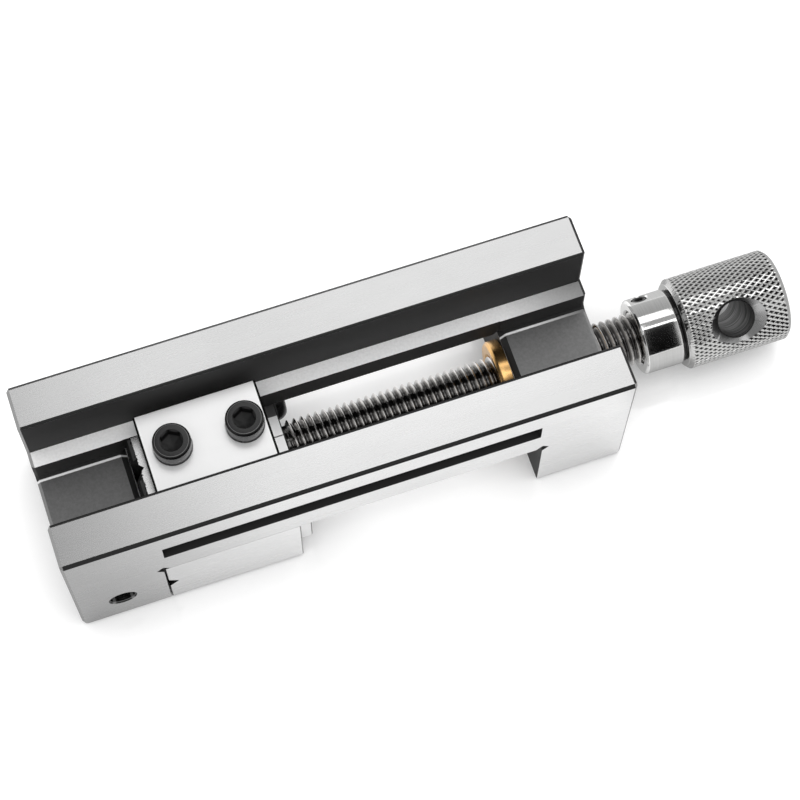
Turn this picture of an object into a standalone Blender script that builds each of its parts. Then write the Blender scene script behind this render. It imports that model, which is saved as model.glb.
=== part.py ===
"""Precision toolmaker's vise, 50 mm size, modelled closed and lying with its base face up.

Metres, +Z up, +X from the fixed jaw's end to the knob, -Y the side with the nearer slot.
The origin is on the surface that the vise lies on, under the middle of its overall length.
The body is one block: a fixed jaw, a bed and a lug, with a stepped channel along its base
face. The moving jaw hangs under the bed, its tongue reaches up through the slot in the bed,
and a plate screwed on the tongue runs on the channel's ledges. A screw turns in a flanged
nut in the lug, and a split plate holds the screw's grooved end to the moving jaw.
"""

import math

import bmesh
import bpy
from mathutils import Euler, Matrix, Vector

# Fits. Touching faces stand FIT_GAP apart, and sliding ones SLIDE_GAP.
FIT_GAP = 0.0003
SLIDE_GAP = 0.00015
THREAD_CLEARANCE = 0.00015

# Body
BODY_LENGTH = 0.150
BODY_WIDTH = 0.050
JAW_HEIGHT = 0.025
BED_THICKNESS = 0.008
CHANNEL_DEPTH = 0.017
CHANNEL_WIDTH = 0.026
SLOT_WIDTH = 0.0175
SLOT_FLOOR_DROP = 0.0002
SLOT_FILLET = 0.0012
BED_SLOT_RELIEF = 0.0001
FIXED_JAW_LENGTH = 0.024
LUG_LENGTH = 0.024
BODY_CHAMFER = 0.0009
END_CHAMFER = 0.0008
JAW_TOP_CHAMFER = 0.0006
CHANNEL_CHAMFER = 0.0003
NOSE_CHAMFER = 0.0018
RELIEF_SIDE = 0.0025

# Slots and tapped holes in the body's sides
SIDE_SLOT_HEIGHT = 0.0071
SIDE_SLOT_DEPTH = 0.006
SIDE_SLOT_END = 0.025
SIDE_SLOT_BELOW_BASE = 0.0123
SIDE_HOLE_RADIUS = 0.0034
SIDE_HOLE_DEPTH = 0.014
SIDE_HOLE_SETBACK = 0.012
SIDE_HOLE_HEIGHT = 0.0126
SIDE_HOLE_CHAMFER = 0.0004

# Moving jaw and its keeper plate
MOVING_JAW_LENGTH = 0.0362
MOVING_JAW_CHAMFER = 0.0003
TONGUE_CHAMFER = 0.0017
V_GROOVE_WIDTH = 0.0055
KEEPER_THICKNESS = 0.0079
KEEPER_SIDE_GAP = 0.0021
KEEPER_SETBACK = 0.0039
KEEPER_REAR_STEP = 0.0002
KEEPER_CHAMFER = 0.0004

# M6 socket cap screws that hold the keeper plate
CAP_SHANK_RADIUS = 0.003
CAP_HEAD_RADIUS = 0.0049
CAP_HEAD_HEIGHT = 0.006
CAP_HEAD_CHAMFER = 0.0006
CAP_RECESS_DEPTH = 0.0015
CAP_RECESS_GAP = 0.0002
CAP_REACH = 0.009
CAP_FIRST = 0.0075
CAP_LAST = 0.0059
CAP_HEX = 0.005
CAP_HEX_DEPTH = 0.003

# Split plate behind the moving jaw and its M6 button-head screws. The heads stand in the
# room between the lead screw, at 0, and the plate's outer edge, at 1.
RETAINER_THICKNESS = 0.0033
RETAINER_HEIGHT = 0.0197
RETAINER_INSET = 0.003
RETAINER_CHAMFER = 0.0003
BUTTON_HEAD_RADIUS = 0.00525
BUTTON_HEAD_HEIGHT = 0.0033
BUTTON_FLAT_RADIUS = 0.0028
BUTTON_SHANK_RADIUS = 0.003
BUTTON_REACH = 0.008
BUTTON_PLACE = 0.2436
BUTTON_HEX = 0.004
BUTTON_HEX_DEPTH = 0.002

# M14 x 2 lead screw
SCREW_HEIGHT = 0.014
THREAD_RADIUS = 0.007
THREAD_PITCH = 0.002
THREAD_FLANK_ANGLE = math.radians(30)
THREAD_DEPTH_IN_PITCHES = 0.61345
THREAD_CREST_IN_PITCHES = 0.125
THREAD_TAPER_IN_PITCHES = 0.5
GROOVE_RADIUS = 0.0038
JOURNAL_RADIUS = 0.005
JOURNAL_LENGTH = 0.009
JOURNAL_CHAMFER = 0.0006
COLLAR_LENGTH = 0.0008
SCREW_REACH = 0.016

# Flanged nut in the lug
NUT_WALL = 0.00135
NUT_FLANGE_STEP = 0.0024
NUT_FLANGE_THICKNESS = 0.0034
NUT_CHAMFER = 0.0007
NUT_SHORT = 0.001

# Knob
KNOB_STANDOFF = 0.0117
KNOB_NECK_LENGTH = 0.0106
KNOB_NECK_WALL = 0.003
KNOB_GROOVE_WIDTH = 0.0009
KNOB_GROOVE_DEPTH = 0.001
KNOB_HEAD_LENGTH = 0.029
KNOB_HEAD_STEP = 0.0022
KNOB_NECK_CHAMFER = 0.0006
KNOB_RIM = 0.0011
CROSS_HOLE_RADIUS = 0.005
CROSS_HOLE_COUNTERSINK = 0.0012
CROSS_HOLE_ANGLE = math.radians(40)
SET_SCREW_RADIUS = 0.002
SET_SCREW_SETBACK = 0.0037
SET_SCREW_HEX = 0.002
SET_SCREW_HEX_DEPTH = 0.0015
SET_SCREW_CHAMFER = 0.0003

# Facets
SMALL_SEGMENTS = 20
LARGE_SEGMENTS = 40
THREAD_SEGMENTS = 14
DOME_STEPS = 5
FILLET_STEPS = 3

# Worked out from the sizes above
OVERALL_LENGTH = (BODY_LENGTH + KNOB_STANDOFF + KNOB_NECK_LENGTH + KNOB_GROOVE_WIDTH
                  + KNOB_HEAD_LENGTH)
BODY_X = -OVERALL_LENGTH / 2
BODY_END_X = BODY_X + BODY_LENGTH
FIXED_FACE_X = BODY_X + FIXED_JAW_LENGTH
LUG_FACE_X = BODY_END_X - LUG_LENGTH
LEDGE_Z = JAW_HEIGHT + BED_THICKNESS
BASE_Z = LEDGE_Z + CHANNEL_DEPTH
SLOT_FLOOR_Z = JAW_HEIGHT - SLOT_FLOOR_DROP
JAW_FACE_X = FIXED_FACE_X + FIT_GAP
JAW_REAR_X = JAW_FACE_X + MOVING_JAW_LENGTH
JAW_BLOCK_TOP_Z = JAW_HEIGHT - SLIDE_GAP
TONGUE_WIDTH = SLOT_WIDTH - 2 * SLIDE_GAP
KEEPER_X = FIXED_FACE_X + KEEPER_SETBACK
KEEPER_LENGTH = JAW_REAR_X - KEEPER_REAR_STEP - KEEPER_X
KEEPER_Z = LEDGE_Z + FIT_GAP
KEEPER_WIDTH = CHANNEL_WIDTH - 2 * KEEPER_SIDE_GAP
CAP_SEAT_Z = KEEPER_Z + KEEPER_THICKNESS - CAP_RECESS_DEPTH
CAP_HOLE_RADIUS = CAP_SHANK_RADIUS + FIT_GAP
CAP_SPACING = KEEPER_LENGTH - CAP_FIRST - CAP_LAST
RETAINER_X = JAW_REAR_X + FIT_GAP
RETAINER_END_X = RETAINER_X + RETAINER_THICKNESS
RETAINER_TOP_Z = JAW_HEIGHT - FIT_GAP
RETAINER_WIDTH = BODY_WIDTH - 2 * RETAINER_INSET
BUTTON_HOLE_RADIUS = BUTTON_SHANK_RADIUS + FIT_GAP
BUTTON_ROOM = RETAINER_WIDTH / 2 - THREAD_RADIUS - 2 * (BUTTON_HEAD_RADIUS + FIT_GAP)
BUTTON_Y = THREAD_RADIUS + FIT_GAP + BUTTON_HEAD_RADIUS + BUTTON_PLACE * BUTTON_ROOM
THREAD_DEPTH = THREAD_DEPTH_IN_PITCHES * THREAD_PITCH
THREAD_ROOT_RADIUS = THREAD_RADIUS - THREAD_DEPTH
THREAD_X = RETAINER_END_X + FIT_GAP + COLLAR_LENGTH
KNOB_X = BODY_END_X + KNOB_STANDOFF
THREAD_END_X = KNOB_X + SCREW_REACH
NUT_BORE_RADIUS = THREAD_RADIUS + THREAD_CLEARANCE
NUT_BARREL_RADIUS = NUT_BORE_RADIUS + NUT_WALL
NUT_FLANGE_RADIUS = NUT_BARREL_RADIUS + NUT_FLANGE_STEP
KNOB_BORE_RADIUS = THREAD_RADIUS + FIT_GAP
KNOB_NECK_RADIUS = KNOB_BORE_RADIUS + KNOB_NECK_WALL
KNOB_HEAD_RADIUS = KNOB_NECK_RADIUS + KNOB_HEAD_STEP
KNOB_HEAD_X = KNOB_X + KNOB_NECK_LENGTH + KNOB_GROOVE_WIDTH

# Turned pieces are drawn about their own +Z, which this turns to +X.
ALONG_X = (0.0, math.radians(90), 0.0)
# How far a cutter runs past the face that it cuts.
PAST = 0.002
# Points closer than this are one point.
MERGE = 1e-6


def start_scene():
    """Clears the scene and makes one collection for the vise and one for its cutters."""
    for thing in list(bpy.data.objects):
        bpy.data.objects.remove(thing, do_unlink=True)
    made = []
    for name in ("toolmakers_vise", "cutters"):
        collection = bpy.data.collections.new(name)
        bpy.context.scene.collection.children.link(collection)
        made.append(collection)
    return made


PARTS, CUTTERS = start_scene()


def make_material(name, colour, metallic, roughness):
    """A Principled material with one colour and one finish."""
    material = bpy.data.materials.new(name)
    material.use_nodes = True
    shader = material.node_tree.nodes["Principled BSDF"]
    shader.inputs["Base Color"].default_value = (*colour, 1.0)
    shader.inputs["Metallic"].default_value = metallic
    shader.inputs["Roughness"].default_value = roughness
    return material


GROUND_STEEL = make_material("ground_steel", (0.62, 0.62, 0.62), 1.0, 0.30)
BLACK_OXIDE = make_material("black_oxide_steel", (0.035, 0.035, 0.037), 0.6, 0.35)
SCREW_STEEL = make_material("lead_screw_steel", (0.22, 0.22, 0.22), 1.0, 0.30)
BRASS = make_material("turned_brass", (0.75, 0.50, 0.22), 1.0, 0.25)
KNURLED_STEEL = make_material("knurled_steel", (0.55, 0.55, 0.54), 1.0, 0.28)


def add_object(name, mesh, material=None):
    """Puts a mesh in the vise's collection, or in the cutters' one if it has no material."""
    thing = bpy.data.objects.new(name, mesh)
    if material is None:
        CUTTERS.objects.link(thing)
        thing.display_type = "WIRE"
        thing.hide_render = True
    else:
        mesh.materials.append(material)
        PARTS.objects.link(thing)
    return thing


def box_mesh(name, low, high):
    """A box between two corners, with its size applied to the mesh."""
    low, high = Vector(low), Vector(high)
    build = bmesh.new()
    bmesh.ops.create_cube(build, size=1.0, matrix=Matrix.Translation((low + high) / 2)
                          @ Matrix.Diagonal((*(high - low), 1.0)))
    mesh = bpy.data.meshes.new(name)
    build.to_mesh(mesh)
    build.free()
    return mesh


def drum_mesh(name, bottom_radius, top_radius, bottom, top, segments=SMALL_SEGMENTS):
    """A cylinder or cone about Z from one height to another."""
    build = bmesh.new()
    bmesh.ops.create_cone(build, cap_ends=True, segments=segments, radius1=bottom_radius,
                          radius2=top_radius, depth=top - bottom,
                          matrix=Matrix.Translation((0, 0, (bottom + top) / 2)))
    mesh = bpy.data.meshes.new(name)
    build.to_mesh(mesh)
    build.free()
    return mesh


def place(thing, location=(0, 0, 0), rotation=(0, 0, 0), parent=None):
    """Places an object, in its parent's space if it has one."""
    thing.location = location
    thing.rotation_euler = rotation
    thing.parent = parent
    return thing


def cut(target, cutter):
    """Takes a cutter's shape out of an object, in place."""
    step = target.modifiers.new(cutter.name, "BOOLEAN")
    step.operation = "DIFFERENCE"
    step.solver = "EXACT"
    step.object = cutter
    return target


def shade_round(mesh, angle=math.radians(35)):
    """Shades a round piece smooth, with its edges kept sharp."""
    mesh.shade_smooth()
    mesh.set_sharp_from_angle(angle=angle)


def extruded(name, outline, length, chamfer, material):
    """A flat outline of (y, z) points carried along X from 0 to a length.

    The outline is a filled curve whose bevel gives both ends a chamfer round the whole
    section, and its offset keeps the section at its drawn size.
    """
    curve = bpy.data.curves.new(name, "CURVE")
    curve.dimensions = "2D"
    curve.fill_mode = "BOTH"
    curve.extrude = length / 2 - chamfer
    curve.bevel_depth = chamfer
    curve.bevel_resolution = 0
    curve.offset = -chamfer
    line = curve.splines.new("POLY")
    line.points.add(len(outline) - 1)
    for point, (y, z) in zip(line.points, outline):
        point.co = (y, z, 0.0, 1.0)
    line.use_cyclic_u = True
    guide = bpy.data.objects.new(name + "_outline", curve)
    CUTTERS.objects.link(guide)
    bpy.context.view_layer.update()
    seen = guide.evaluated_get(bpy.context.evaluated_depsgraph_get())
    mesh = bpy.data.meshes.new_from_object(seen)
    bpy.data.objects.remove(guide, do_unlink=True)
    mesh.name = name
    build = bmesh.new()
    build.from_mesh(mesh)
    bmesh.ops.remove_doubles(build, verts=build.verts, dist=MERGE)
    turn = Matrix(((0, 0, 1, length / 2), (1, 0, 0, 0), (0, 1, 0, 0), (0, 0, 0, 1)))
    bmesh.ops.transform(build, matrix=turn, verts=build.verts)
    bmesh.ops.recalc_face_normals(build, faces=build.faces)
    build.to_mesh(mesh)
    build.free()
    return add_object(name, mesh, material)


def turned(name, profile, material=None, segments=LARGE_SEGMENTS, ring=False):
    """A turned shape: (radius, height) points, running down its outer side, round Z."""
    build = bmesh.new()
    points = [build.verts.new((radius, 0.0, height)) for radius, height in profile]
    for first, second in zip(points, points[1:]):
        build.edges.new((first, second))
    if ring:
        build.edges.new((points[-1], points[0]))
    mesh = bpy.data.meshes.new(name)
    build.to_mesh(mesh)
    build.free()
    thing = add_object(name, mesh, material)
    spin = thing.modifiers.new("turn", "SCREW")
    spin.axis = "Z"
    spin.angle = math.radians(360)
    spin.steps = segments
    spin.render_steps = segments
    spin.use_merge_vertices = True
    spin.merge_threshold = MERGE
    apply_modifiers(thing)
    shade_round(thing.data)
    return thing


def apply_modifiers(thing):
    """Replaces an object's mesh with the one that its modifiers give."""
    bpy.context.view_layer.update()
    seen = thing.evaluated_get(bpy.context.evaluated_depsgraph_get())
    mesh = bpy.data.meshes.new_from_object(seen)
    mesh.name = thing.name
    thing.modifiers.clear()
    thing.data = mesh
    return thing


def box_cutter(name, low, high):
    """A box-shaped cutter between two corners."""
    return add_object(name, box_mesh(name, low, high))


def hole_cutter(name, radius, depth, segments=SMALL_SEGMENTS):
    """A drill that goes down from its own origin to a depth."""
    return add_object(name, drum_mesh(name, radius, radius, -depth, PAST, segments))


def hex_cutter(name, across_flats, depth):
    """A six-sided broach that goes down from its own origin."""
    return hole_cutter(name, across_flats / 2 / math.cos(math.radians(30)), depth, 6)


def arc(centre, radius, start, end, steps):
    """Points along an arc between two angles in degrees, both ends included."""
    angles = [math.radians(start + (end - start) * i / steps) for i in range(steps + 1)]
    return [(centre[0] + radius * math.cos(a), centre[1] + radius * math.sin(a))
            for a in angles]


def body_outline():
    """The body's section: a block with a stepped channel along its top."""
    side = BODY_WIDTH / 2
    channel = CHANNEL_WIDTH / 2
    slot = SLOT_WIDTH / 2
    fillet = (slot - SLOT_FILLET, SLOT_FLOOR_Z + SLOT_FILLET)
    right = [
        (side - JAW_TOP_CHAMFER, 0.0),
        (side, JAW_TOP_CHAMFER),
        (side, BASE_Z - BODY_CHAMFER),
        (side - BODY_CHAMFER, BASE_Z),
        (channel, BASE_Z),
        (channel, LEDGE_Z),
        (slot, LEDGE_Z),
    ] + arc(fillet, SLOT_FILLET, 0, -90, FILLET_STEPS)
    left = [(-y, z) for y, z in reversed(right)]
    return right + left


def make_body():
    """The ground block: fixed jaw, bed and lug in one piece."""
    body = extruded("body", body_outline(), BODY_LENGTH, END_CHAMFER, GROUND_STEEL)
    place(body, (BODY_X, 0, 0))
    side = BODY_WIDTH / 2
    cut(body, box_cutter("cut_between_jaws", (FIXED_FACE_X, -side - PAST, -PAST),
                         (LUG_FACE_X, side + PAST, JAW_HEIGHT)))
    slot = SLOT_WIDTH / 2 + BED_SLOT_RELIEF
    cut(body, box_cutter("cut_bed_slot", (FIXED_FACE_X - BED_SLOT_RELIEF, -slot, JAW_HEIGHT - PAST),
                         (LUG_FACE_X + BED_SLOT_RELIEF, slot, LEDGE_Z + PAST)))
    half = RELIEF_SIDE / 2
    for name, x in (("cut_front_relief", FIXED_FACE_X), ("cut_rear_relief", LUG_FACE_X)):
        relief = box_cutter(name, (-half, -side - PAST, -half), (half, side + PAST, half))
        cut(body, place(relief, (x, 0, JAW_HEIGHT), (0, math.radians(45), 0)))
    nose = NOSE_CHAMFER / math.sqrt(2)
    corner = box_cutter("cut_nose", (-nose, -side - PAST, -nose), (nose, side + PAST, nose))
    cut(body, place(corner, (BODY_X, 0, 0), (0, math.radians(45), 0)))
    slot_top = BASE_Z - SIDE_SLOT_BELOW_BASE + SIDE_SLOT_HEIGHT / 2
    lip = CHANNEL_CHAMFER / math.sqrt(2)
    for name, sign in (("near", -1), ("far", 1)):
        edge = box_cutter("cut_channel_lip_" + name, (BODY_X - PAST, -lip, -lip),
                          (BODY_END_X + PAST, lip, lip))
        cut(body, place(edge, (0, sign * CHANNEL_WIDTH / 2, BASE_Z), (math.radians(45), 0, 0)))
        ends = sorted((sign * (side - SIDE_SLOT_DEPTH), sign * (side + PAST)))
        cut(body, box_cutter("cut_slot_" + name,
                             (BODY_X + SIDE_SLOT_END, ends[0], slot_top - SIDE_SLOT_HEIGHT),
                             (BODY_END_X - SIDE_SLOT_END, ends[1], slot_top)))
        drill = hole_cutter("cut_side_hole_" + name, SIDE_HOLE_RADIUS, SIDE_HOLE_DEPTH)
        mouth = add_object("cut_side_mouth_" + name, drum_mesh(
            "cut_side_mouth_" + name, SIDE_HOLE_RADIUS, SIDE_HOLE_RADIUS + 2 * SIDE_HOLE_CHAMFER,
            -SIDE_HOLE_CHAMFER, SIDE_HOLE_CHAMFER))
        for tool in (drill, mouth):
            place(tool, (BODY_X + SIDE_HOLE_SETBACK, sign * side, SIDE_HOLE_HEIGHT),
                  (math.radians(-90 * sign), 0, 0))
            cut(body, tool)
    bore = hole_cutter("cut_nut_bore", NUT_BARREL_RADIUS + FIT_GAP, LUG_LENGTH + PAST,
                       LARGE_SEGMENTS)
    cut(body, place(bore, (BODY_END_X, 0, SCREW_HEIGHT), ALONG_X))
    return body


def moving_jaw_outline():
    """The moving jaw's section: a block with a tongue on top."""
    side = BODY_WIDTH / 2
    tongue = TONGUE_WIDTH / 2
    right = [
        (side - JAW_TOP_CHAMFER, 0.0),
        (side, JAW_TOP_CHAMFER),
        (side, JAW_BLOCK_TOP_Z),
        (tongue, JAW_BLOCK_TOP_Z),
        (tongue, LEDGE_Z),
    ]
    left = [(-y, z) for y, z in reversed(right)]
    return right + left


def make_moving_jaw():
    """The moving jaw, with crossed V grooves in its face to hold round work."""
    jaw = extruded("moving_jaw", moving_jaw_outline(), MOVING_JAW_LENGTH,
                   MOVING_JAW_CHAMFER, GROUND_STEEL)
    place(jaw, (JAW_FACE_X, 0, 0))
    side = BODY_WIDTH / 2
    half = V_GROOVE_WIDTH / 2 / math.sqrt(2)
    level = box_cutter("cut_level_groove", (-half, -side - PAST, -half), (half, side + PAST, half))
    cut(jaw, place(level, (JAW_FACE_X, 0, JAW_HEIGHT / 2), (0, math.radians(45), 0)))
    upright = box_cutter("cut_upright_groove", (-half, -half, -PAST), (half, half, LEDGE_Z + PAST))
    cut(jaw, place(upright, (JAW_FACE_X, 0, 0), (0, 0, math.radians(45))))
    slant = TONGUE_CHAMFER / math.sqrt(2)
    brow = box_cutter("cut_tongue_front", (-slant, -side, -slant), (slant, side, slant))
    cut(jaw, place(brow, (JAW_FACE_X, 0, LEDGE_Z), (0, math.radians(45), 0)))
    for i in range(2):
        drill = hole_cutter(f"cut_cap_thread_{i}", CAP_HOLE_RADIUS, CAP_REACH + FIT_GAP)
        cut(jaw, place(drill, (KEEPER_X + CAP_FIRST + i * CAP_SPACING, 0, LEDGE_Z)))
    for name, sign in (("near", -1), ("far", 1)):
        drill = hole_cutter("cut_button_thread_" + name, BUTTON_HOLE_RADIUS,
                            BUTTON_REACH + FIT_GAP)
        cut(jaw, place(drill, (JAW_REAR_X, sign * BUTTON_Y, SCREW_HEIGHT), ALONG_X))
    socket = hole_cutter("cut_journal_bore", JOURNAL_RADIUS + FIT_GAP, JOURNAL_LENGTH + FIT_GAP)
    cut(jaw, place(socket, (JAW_REAR_X, 0, SCREW_HEIGHT), ALONG_X))
    return jaw


def make_cap_screw(name, x, jaw):
    """A socket cap screw, drawn with its origin at the seat of its head."""
    shank = CAP_SEAT_Z - LEDGE_Z + CAP_REACH
    head = CAP_HEAD_RADIUS
    profile = [
        (0.0, CAP_HEAD_HEIGHT),
        (head - CAP_HEAD_CHAMFER, CAP_HEAD_HEIGHT),
        (head, CAP_HEAD_HEIGHT - CAP_HEAD_CHAMFER),
        (head, 0.0),
        (CAP_SHANK_RADIUS, 0.0),
        (CAP_SHANK_RADIUS, -shank + CAP_HEAD_CHAMFER),
        (CAP_SHANK_RADIUS - CAP_HEAD_CHAMFER, -shank),
        (0.0, -shank),
    ]
    screw = turned(name, profile, BLACK_OXIDE)
    place(screw, (x - JAW_FACE_X, 0, CAP_SEAT_Z + FIT_GAP), parent=jaw)
    socket = hex_cutter("cut_hex_" + name, CAP_HEX, CAP_HEX_DEPTH)
    place(socket, (x, 0, CAP_SEAT_Z + FIT_GAP + CAP_HEAD_HEIGHT))
    cut(screw, socket)
    return screw


def make_keeper(jaw):
    """The plate that carries the moving jaw on the channel's ledges, and its screws."""
    half = KEEPER_WIDTH / 2
    plate = add_object("keeper_plate", box_mesh(
        "keeper_plate", (KEEPER_X - JAW_FACE_X, -half, KEEPER_Z),
        (KEEPER_X - JAW_FACE_X + KEEPER_LENGTH, half, KEEPER_Z + KEEPER_THICKNESS)), GROUND_STEEL)
    place(plate, parent=jaw)
    edge = plate.modifiers.new("edges", "BEVEL")
    edge.width = KEEPER_CHAMFER
    edge.segments = 1
    edge.limit_method = "ANGLE"
    for i, name in enumerate(("keeper_screw_front", "keeper_screw_rear")):
        x = KEEPER_X + CAP_FIRST + i * CAP_SPACING
        drill = hole_cutter(f"cut_cap_hole_{i}", CAP_HOLE_RADIUS, KEEPER_THICKNESS + 2 * PAST)
        cut(plate, place(drill, (x, 0, KEEPER_Z + KEEPER_THICKNESS)))
        recess = hole_cutter(f"cut_cap_recess_{i}", CAP_HEAD_RADIUS + CAP_RECESS_GAP,
                             CAP_RECESS_DEPTH, LARGE_SEGMENTS)
        cut(plate, place(recess, (x, 0, KEEPER_Z + KEEPER_THICKNESS)))
        make_cap_screw(name, x, jaw)


def make_retainer_half(name, sign, jaw):
    """One half of the split plate, with a half-round notch that fits the screw's groove."""
    notch = GROOVE_RADIUS + FIT_GAP
    split = FIT_GAP / 2
    bottom = RETAINER_TOP_Z - RETAINER_HEIGHT
    start = math.degrees(math.asin(split / notch))
    rim = arc((0.0, SCREW_HEIGHT), notch, 90 - start, -90 + start, SMALL_SEGMENTS // 2)
    outer = RETAINER_WIDTH / 2
    outline = [(split, RETAINER_TOP_Z)] + rim + [(split, bottom), (outer, bottom),
                                                 (outer, RETAINER_TOP_Z)]
    if sign > 0:
        outline = [(y, z) for y, z in reversed(outline)]
    else:
        outline = [(-y, z) for y, z in outline]
    plate = extruded(name, outline, RETAINER_THICKNESS, RETAINER_CHAMFER, GROUND_STEEL)
    place(plate, (RETAINER_X - JAW_FACE_X, 0, 0), parent=jaw)
    drill = hole_cutter("cut_" + name, BUTTON_HOLE_RADIUS, RETAINER_THICKNESS + 2 * PAST)
    cut(plate, place(drill, (RETAINER_END_X, sign * BUTTON_Y, SCREW_HEIGHT), ALONG_X))
    return plate


def make_button_screw(name, sign, jaw):
    """A button-head screw, drawn with its origin at the seat of its head."""
    rise = BUTTON_HEAD_HEIGHT
    span = BUTTON_HEAD_RADIUS - BUTTON_FLAT_RADIUS
    dome = [(BUTTON_FLAT_RADIUS + span * across, rise * up)
            for across, up in arc((0.0, 0.0), 1.0, 90, 0, DOME_STEPS)]
    shank = RETAINER_THICKNESS + BUTTON_REACH
    profile = [(0.0, rise)] + dome + [
        (BUTTON_SHANK_RADIUS, 0.0),
        (BUTTON_SHANK_RADIUS, -shank),
        (0.0, -shank),
    ]
    screw = turned(name, profile, BLACK_OXIDE, SMALL_SEGMENTS)
    seat_x = RETAINER_END_X + FIT_GAP
    place(screw, (seat_x - JAW_FACE_X, sign * BUTTON_Y, SCREW_HEIGHT), ALONG_X, jaw)
    socket = hex_cutter("cut_hex_" + name, BUTTON_HEX, BUTTON_HEX_DEPTH)
    place(socket, (seat_x + rise, sign * BUTTON_Y, SCREW_HEIGHT), ALONG_X)
    cut(screw, socket)
    return screw


def thread_mesh(name, length):
    """A right-hand thread about Z from 0 to a length, with flat ends.

    One pitch of the thread's profile (crest, flank, root, flank) is swept along a helix
    that starts below 0 and ends past the length, and the ends are cut square and closed.
    Close to each end the thread tapers to its root.
    """
    root = THREAD_ROOT_RADIUS
    flank = THREAD_DEPTH * math.tan(THREAD_FLANK_ANGLE)
    crest = THREAD_CREST_IN_PITCHES * THREAD_PITCH
    base = THREAD_PITCH - crest - 2 * flank
    taper = THREAD_TAPER_IN_PITCHES * THREAD_PITCH
    spare_turns = 2
    heights = [THREAD_PITCH, THREAD_PITCH - base, THREAD_PITCH - base - flank, flank, 0.0]
    radii = [root, root, THREAD_RADIUS, THREAD_RADIUS, root]
    build = bmesh.new()
    points = [build.verts.new((radius, 0.0, height)) for radius, height in zip(radii, heights)]
    for first, second in zip(points, points[1:]):
        build.edges.new((first, second))
    mesh = bpy.data.meshes.new(name)
    build.to_mesh(mesh)
    build.free()
    coil = add_object(name, mesh)
    sweep = coil.modifiers.new("helix", "SCREW")
    sweep.axis = "Z"
    sweep.angle = math.radians(360)
    sweep.screw_offset = THREAD_PITCH
    sweep.iterations = math.ceil(length / THREAD_PITCH) + spare_turns + 1
    sweep.steps = THREAD_SEGMENTS
    sweep.render_steps = THREAD_SEGMENTS
    apply_modifiers(coil)
    mesh = coil.data
    bpy.data.objects.remove(coil, do_unlink=True)
    build = bmesh.new()
    build.from_mesh(mesh)
    bmesh.ops.remove_doubles(build, verts=build.verts, dist=MERGE)
    bmesh.ops.translate(build, verts=build.verts, vec=(0, 0, -spare_turns * THREAD_PITCH))
    for height, direction in ((0.0, -1), (length, 1)):
        shape = build.verts[:] + build.edges[:] + build.faces[:]
        cut_at = bmesh.ops.bisect_plane(build, geom=shape, dist=1e-7, plane_co=(0, 0, height),
                                        plane_no=(0, 0, direction), clear_outer=True)
        rim = [part for part in cut_at["geom_cut"] if isinstance(part, bmesh.types.BMEdge)]
        bmesh.ops.edgeloop_fill(build, edges=rim)
    for point in build.verts:
        to_end = min(point.co.z, length - point.co.z)
        limit = root + THREAD_DEPTH * min(1.0, to_end / taper)
        radius = math.hypot(point.co.x, point.co.y)
        if radius > limit:
            point.co.x *= limit / radius
            point.co.y *= limit / radius
    bmesh.ops.triangulate(build, faces=[face for face in build.faces if len(face.verts) > 4])
    bmesh.ops.recalc_face_normals(build, faces=build.faces)
    build.to_mesh(mesh)
    build.free()
    shade_round(mesh)
    return mesh


def make_lead_screw():
    """The lead screw: a grooved journal held by the split plate, a collar and the thread.

    The journal and collar are turned as one shape whose stem runs up inside the thread,
    so that the two join as one solid.
    """
    length = THREAD_END_X - THREAD_X
    screw = add_object("lead_screw", thread_mesh("lead_screw", length), SCREW_STEEL)
    place(screw, (THREAD_X, 0, SCREW_HEIGHT), ALONG_X)
    groove_end = JAW_REAR_X - THREAD_X
    tip = groove_end - JOURNAL_LENGTH
    stem_end = 2 * THREAD_PITCH
    collar_end = THREAD_PITCH / 4
    profile = [
        (0.0, stem_end),
        (GROOVE_RADIUS, stem_end),
        (GROOVE_RADIUS, collar_end),
        (THREAD_ROOT_RADIUS, collar_end),
        (THREAD_ROOT_RADIUS, -COLLAR_LENGTH),
        (GROOVE_RADIUS, -COLLAR_LENGTH),
        (GROOVE_RADIUS, groove_end),
        (JOURNAL_RADIUS, groove_end),
        (JOURNAL_RADIUS, tip + JOURNAL_CHAMFER),
        (JOURNAL_RADIUS - JOURNAL_CHAMFER, tip),
        (0.0, tip),
    ]
    journal = turned("join_journal", profile, segments=SMALL_SEGMENTS)
    place(journal, screw.location, ALONG_X)
    step = screw.modifiers.new("journal", "BOOLEAN")
    step.operation = "UNION"
    step.solver = "EXACT"
    step.object = journal
    return screw


def make_nut():
    """The flanged nut in the lug: the flange takes the push of the screw."""
    depth = LUG_LENGTH - NUT_SHORT
    seat = -FIT_GAP
    face = seat - NUT_FLANGE_THICKNESS
    profile = [
        (NUT_BARREL_RADIUS, depth),
        (NUT_BARREL_RADIUS, seat),
        (NUT_FLANGE_RADIUS, seat),
        (NUT_FLANGE_RADIUS, face + NUT_CHAMFER),
        (NUT_FLANGE_RADIUS - NUT_CHAMFER, face),
        (NUT_BORE_RADIUS, face),
        (NUT_BORE_RADIUS, depth),
    ]
    nut = turned("screw_nut", profile, BRASS, ring=True)
    return place(nut, (LUG_FACE_X, 0, SCREW_HEIGHT), ALONG_X)


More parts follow.
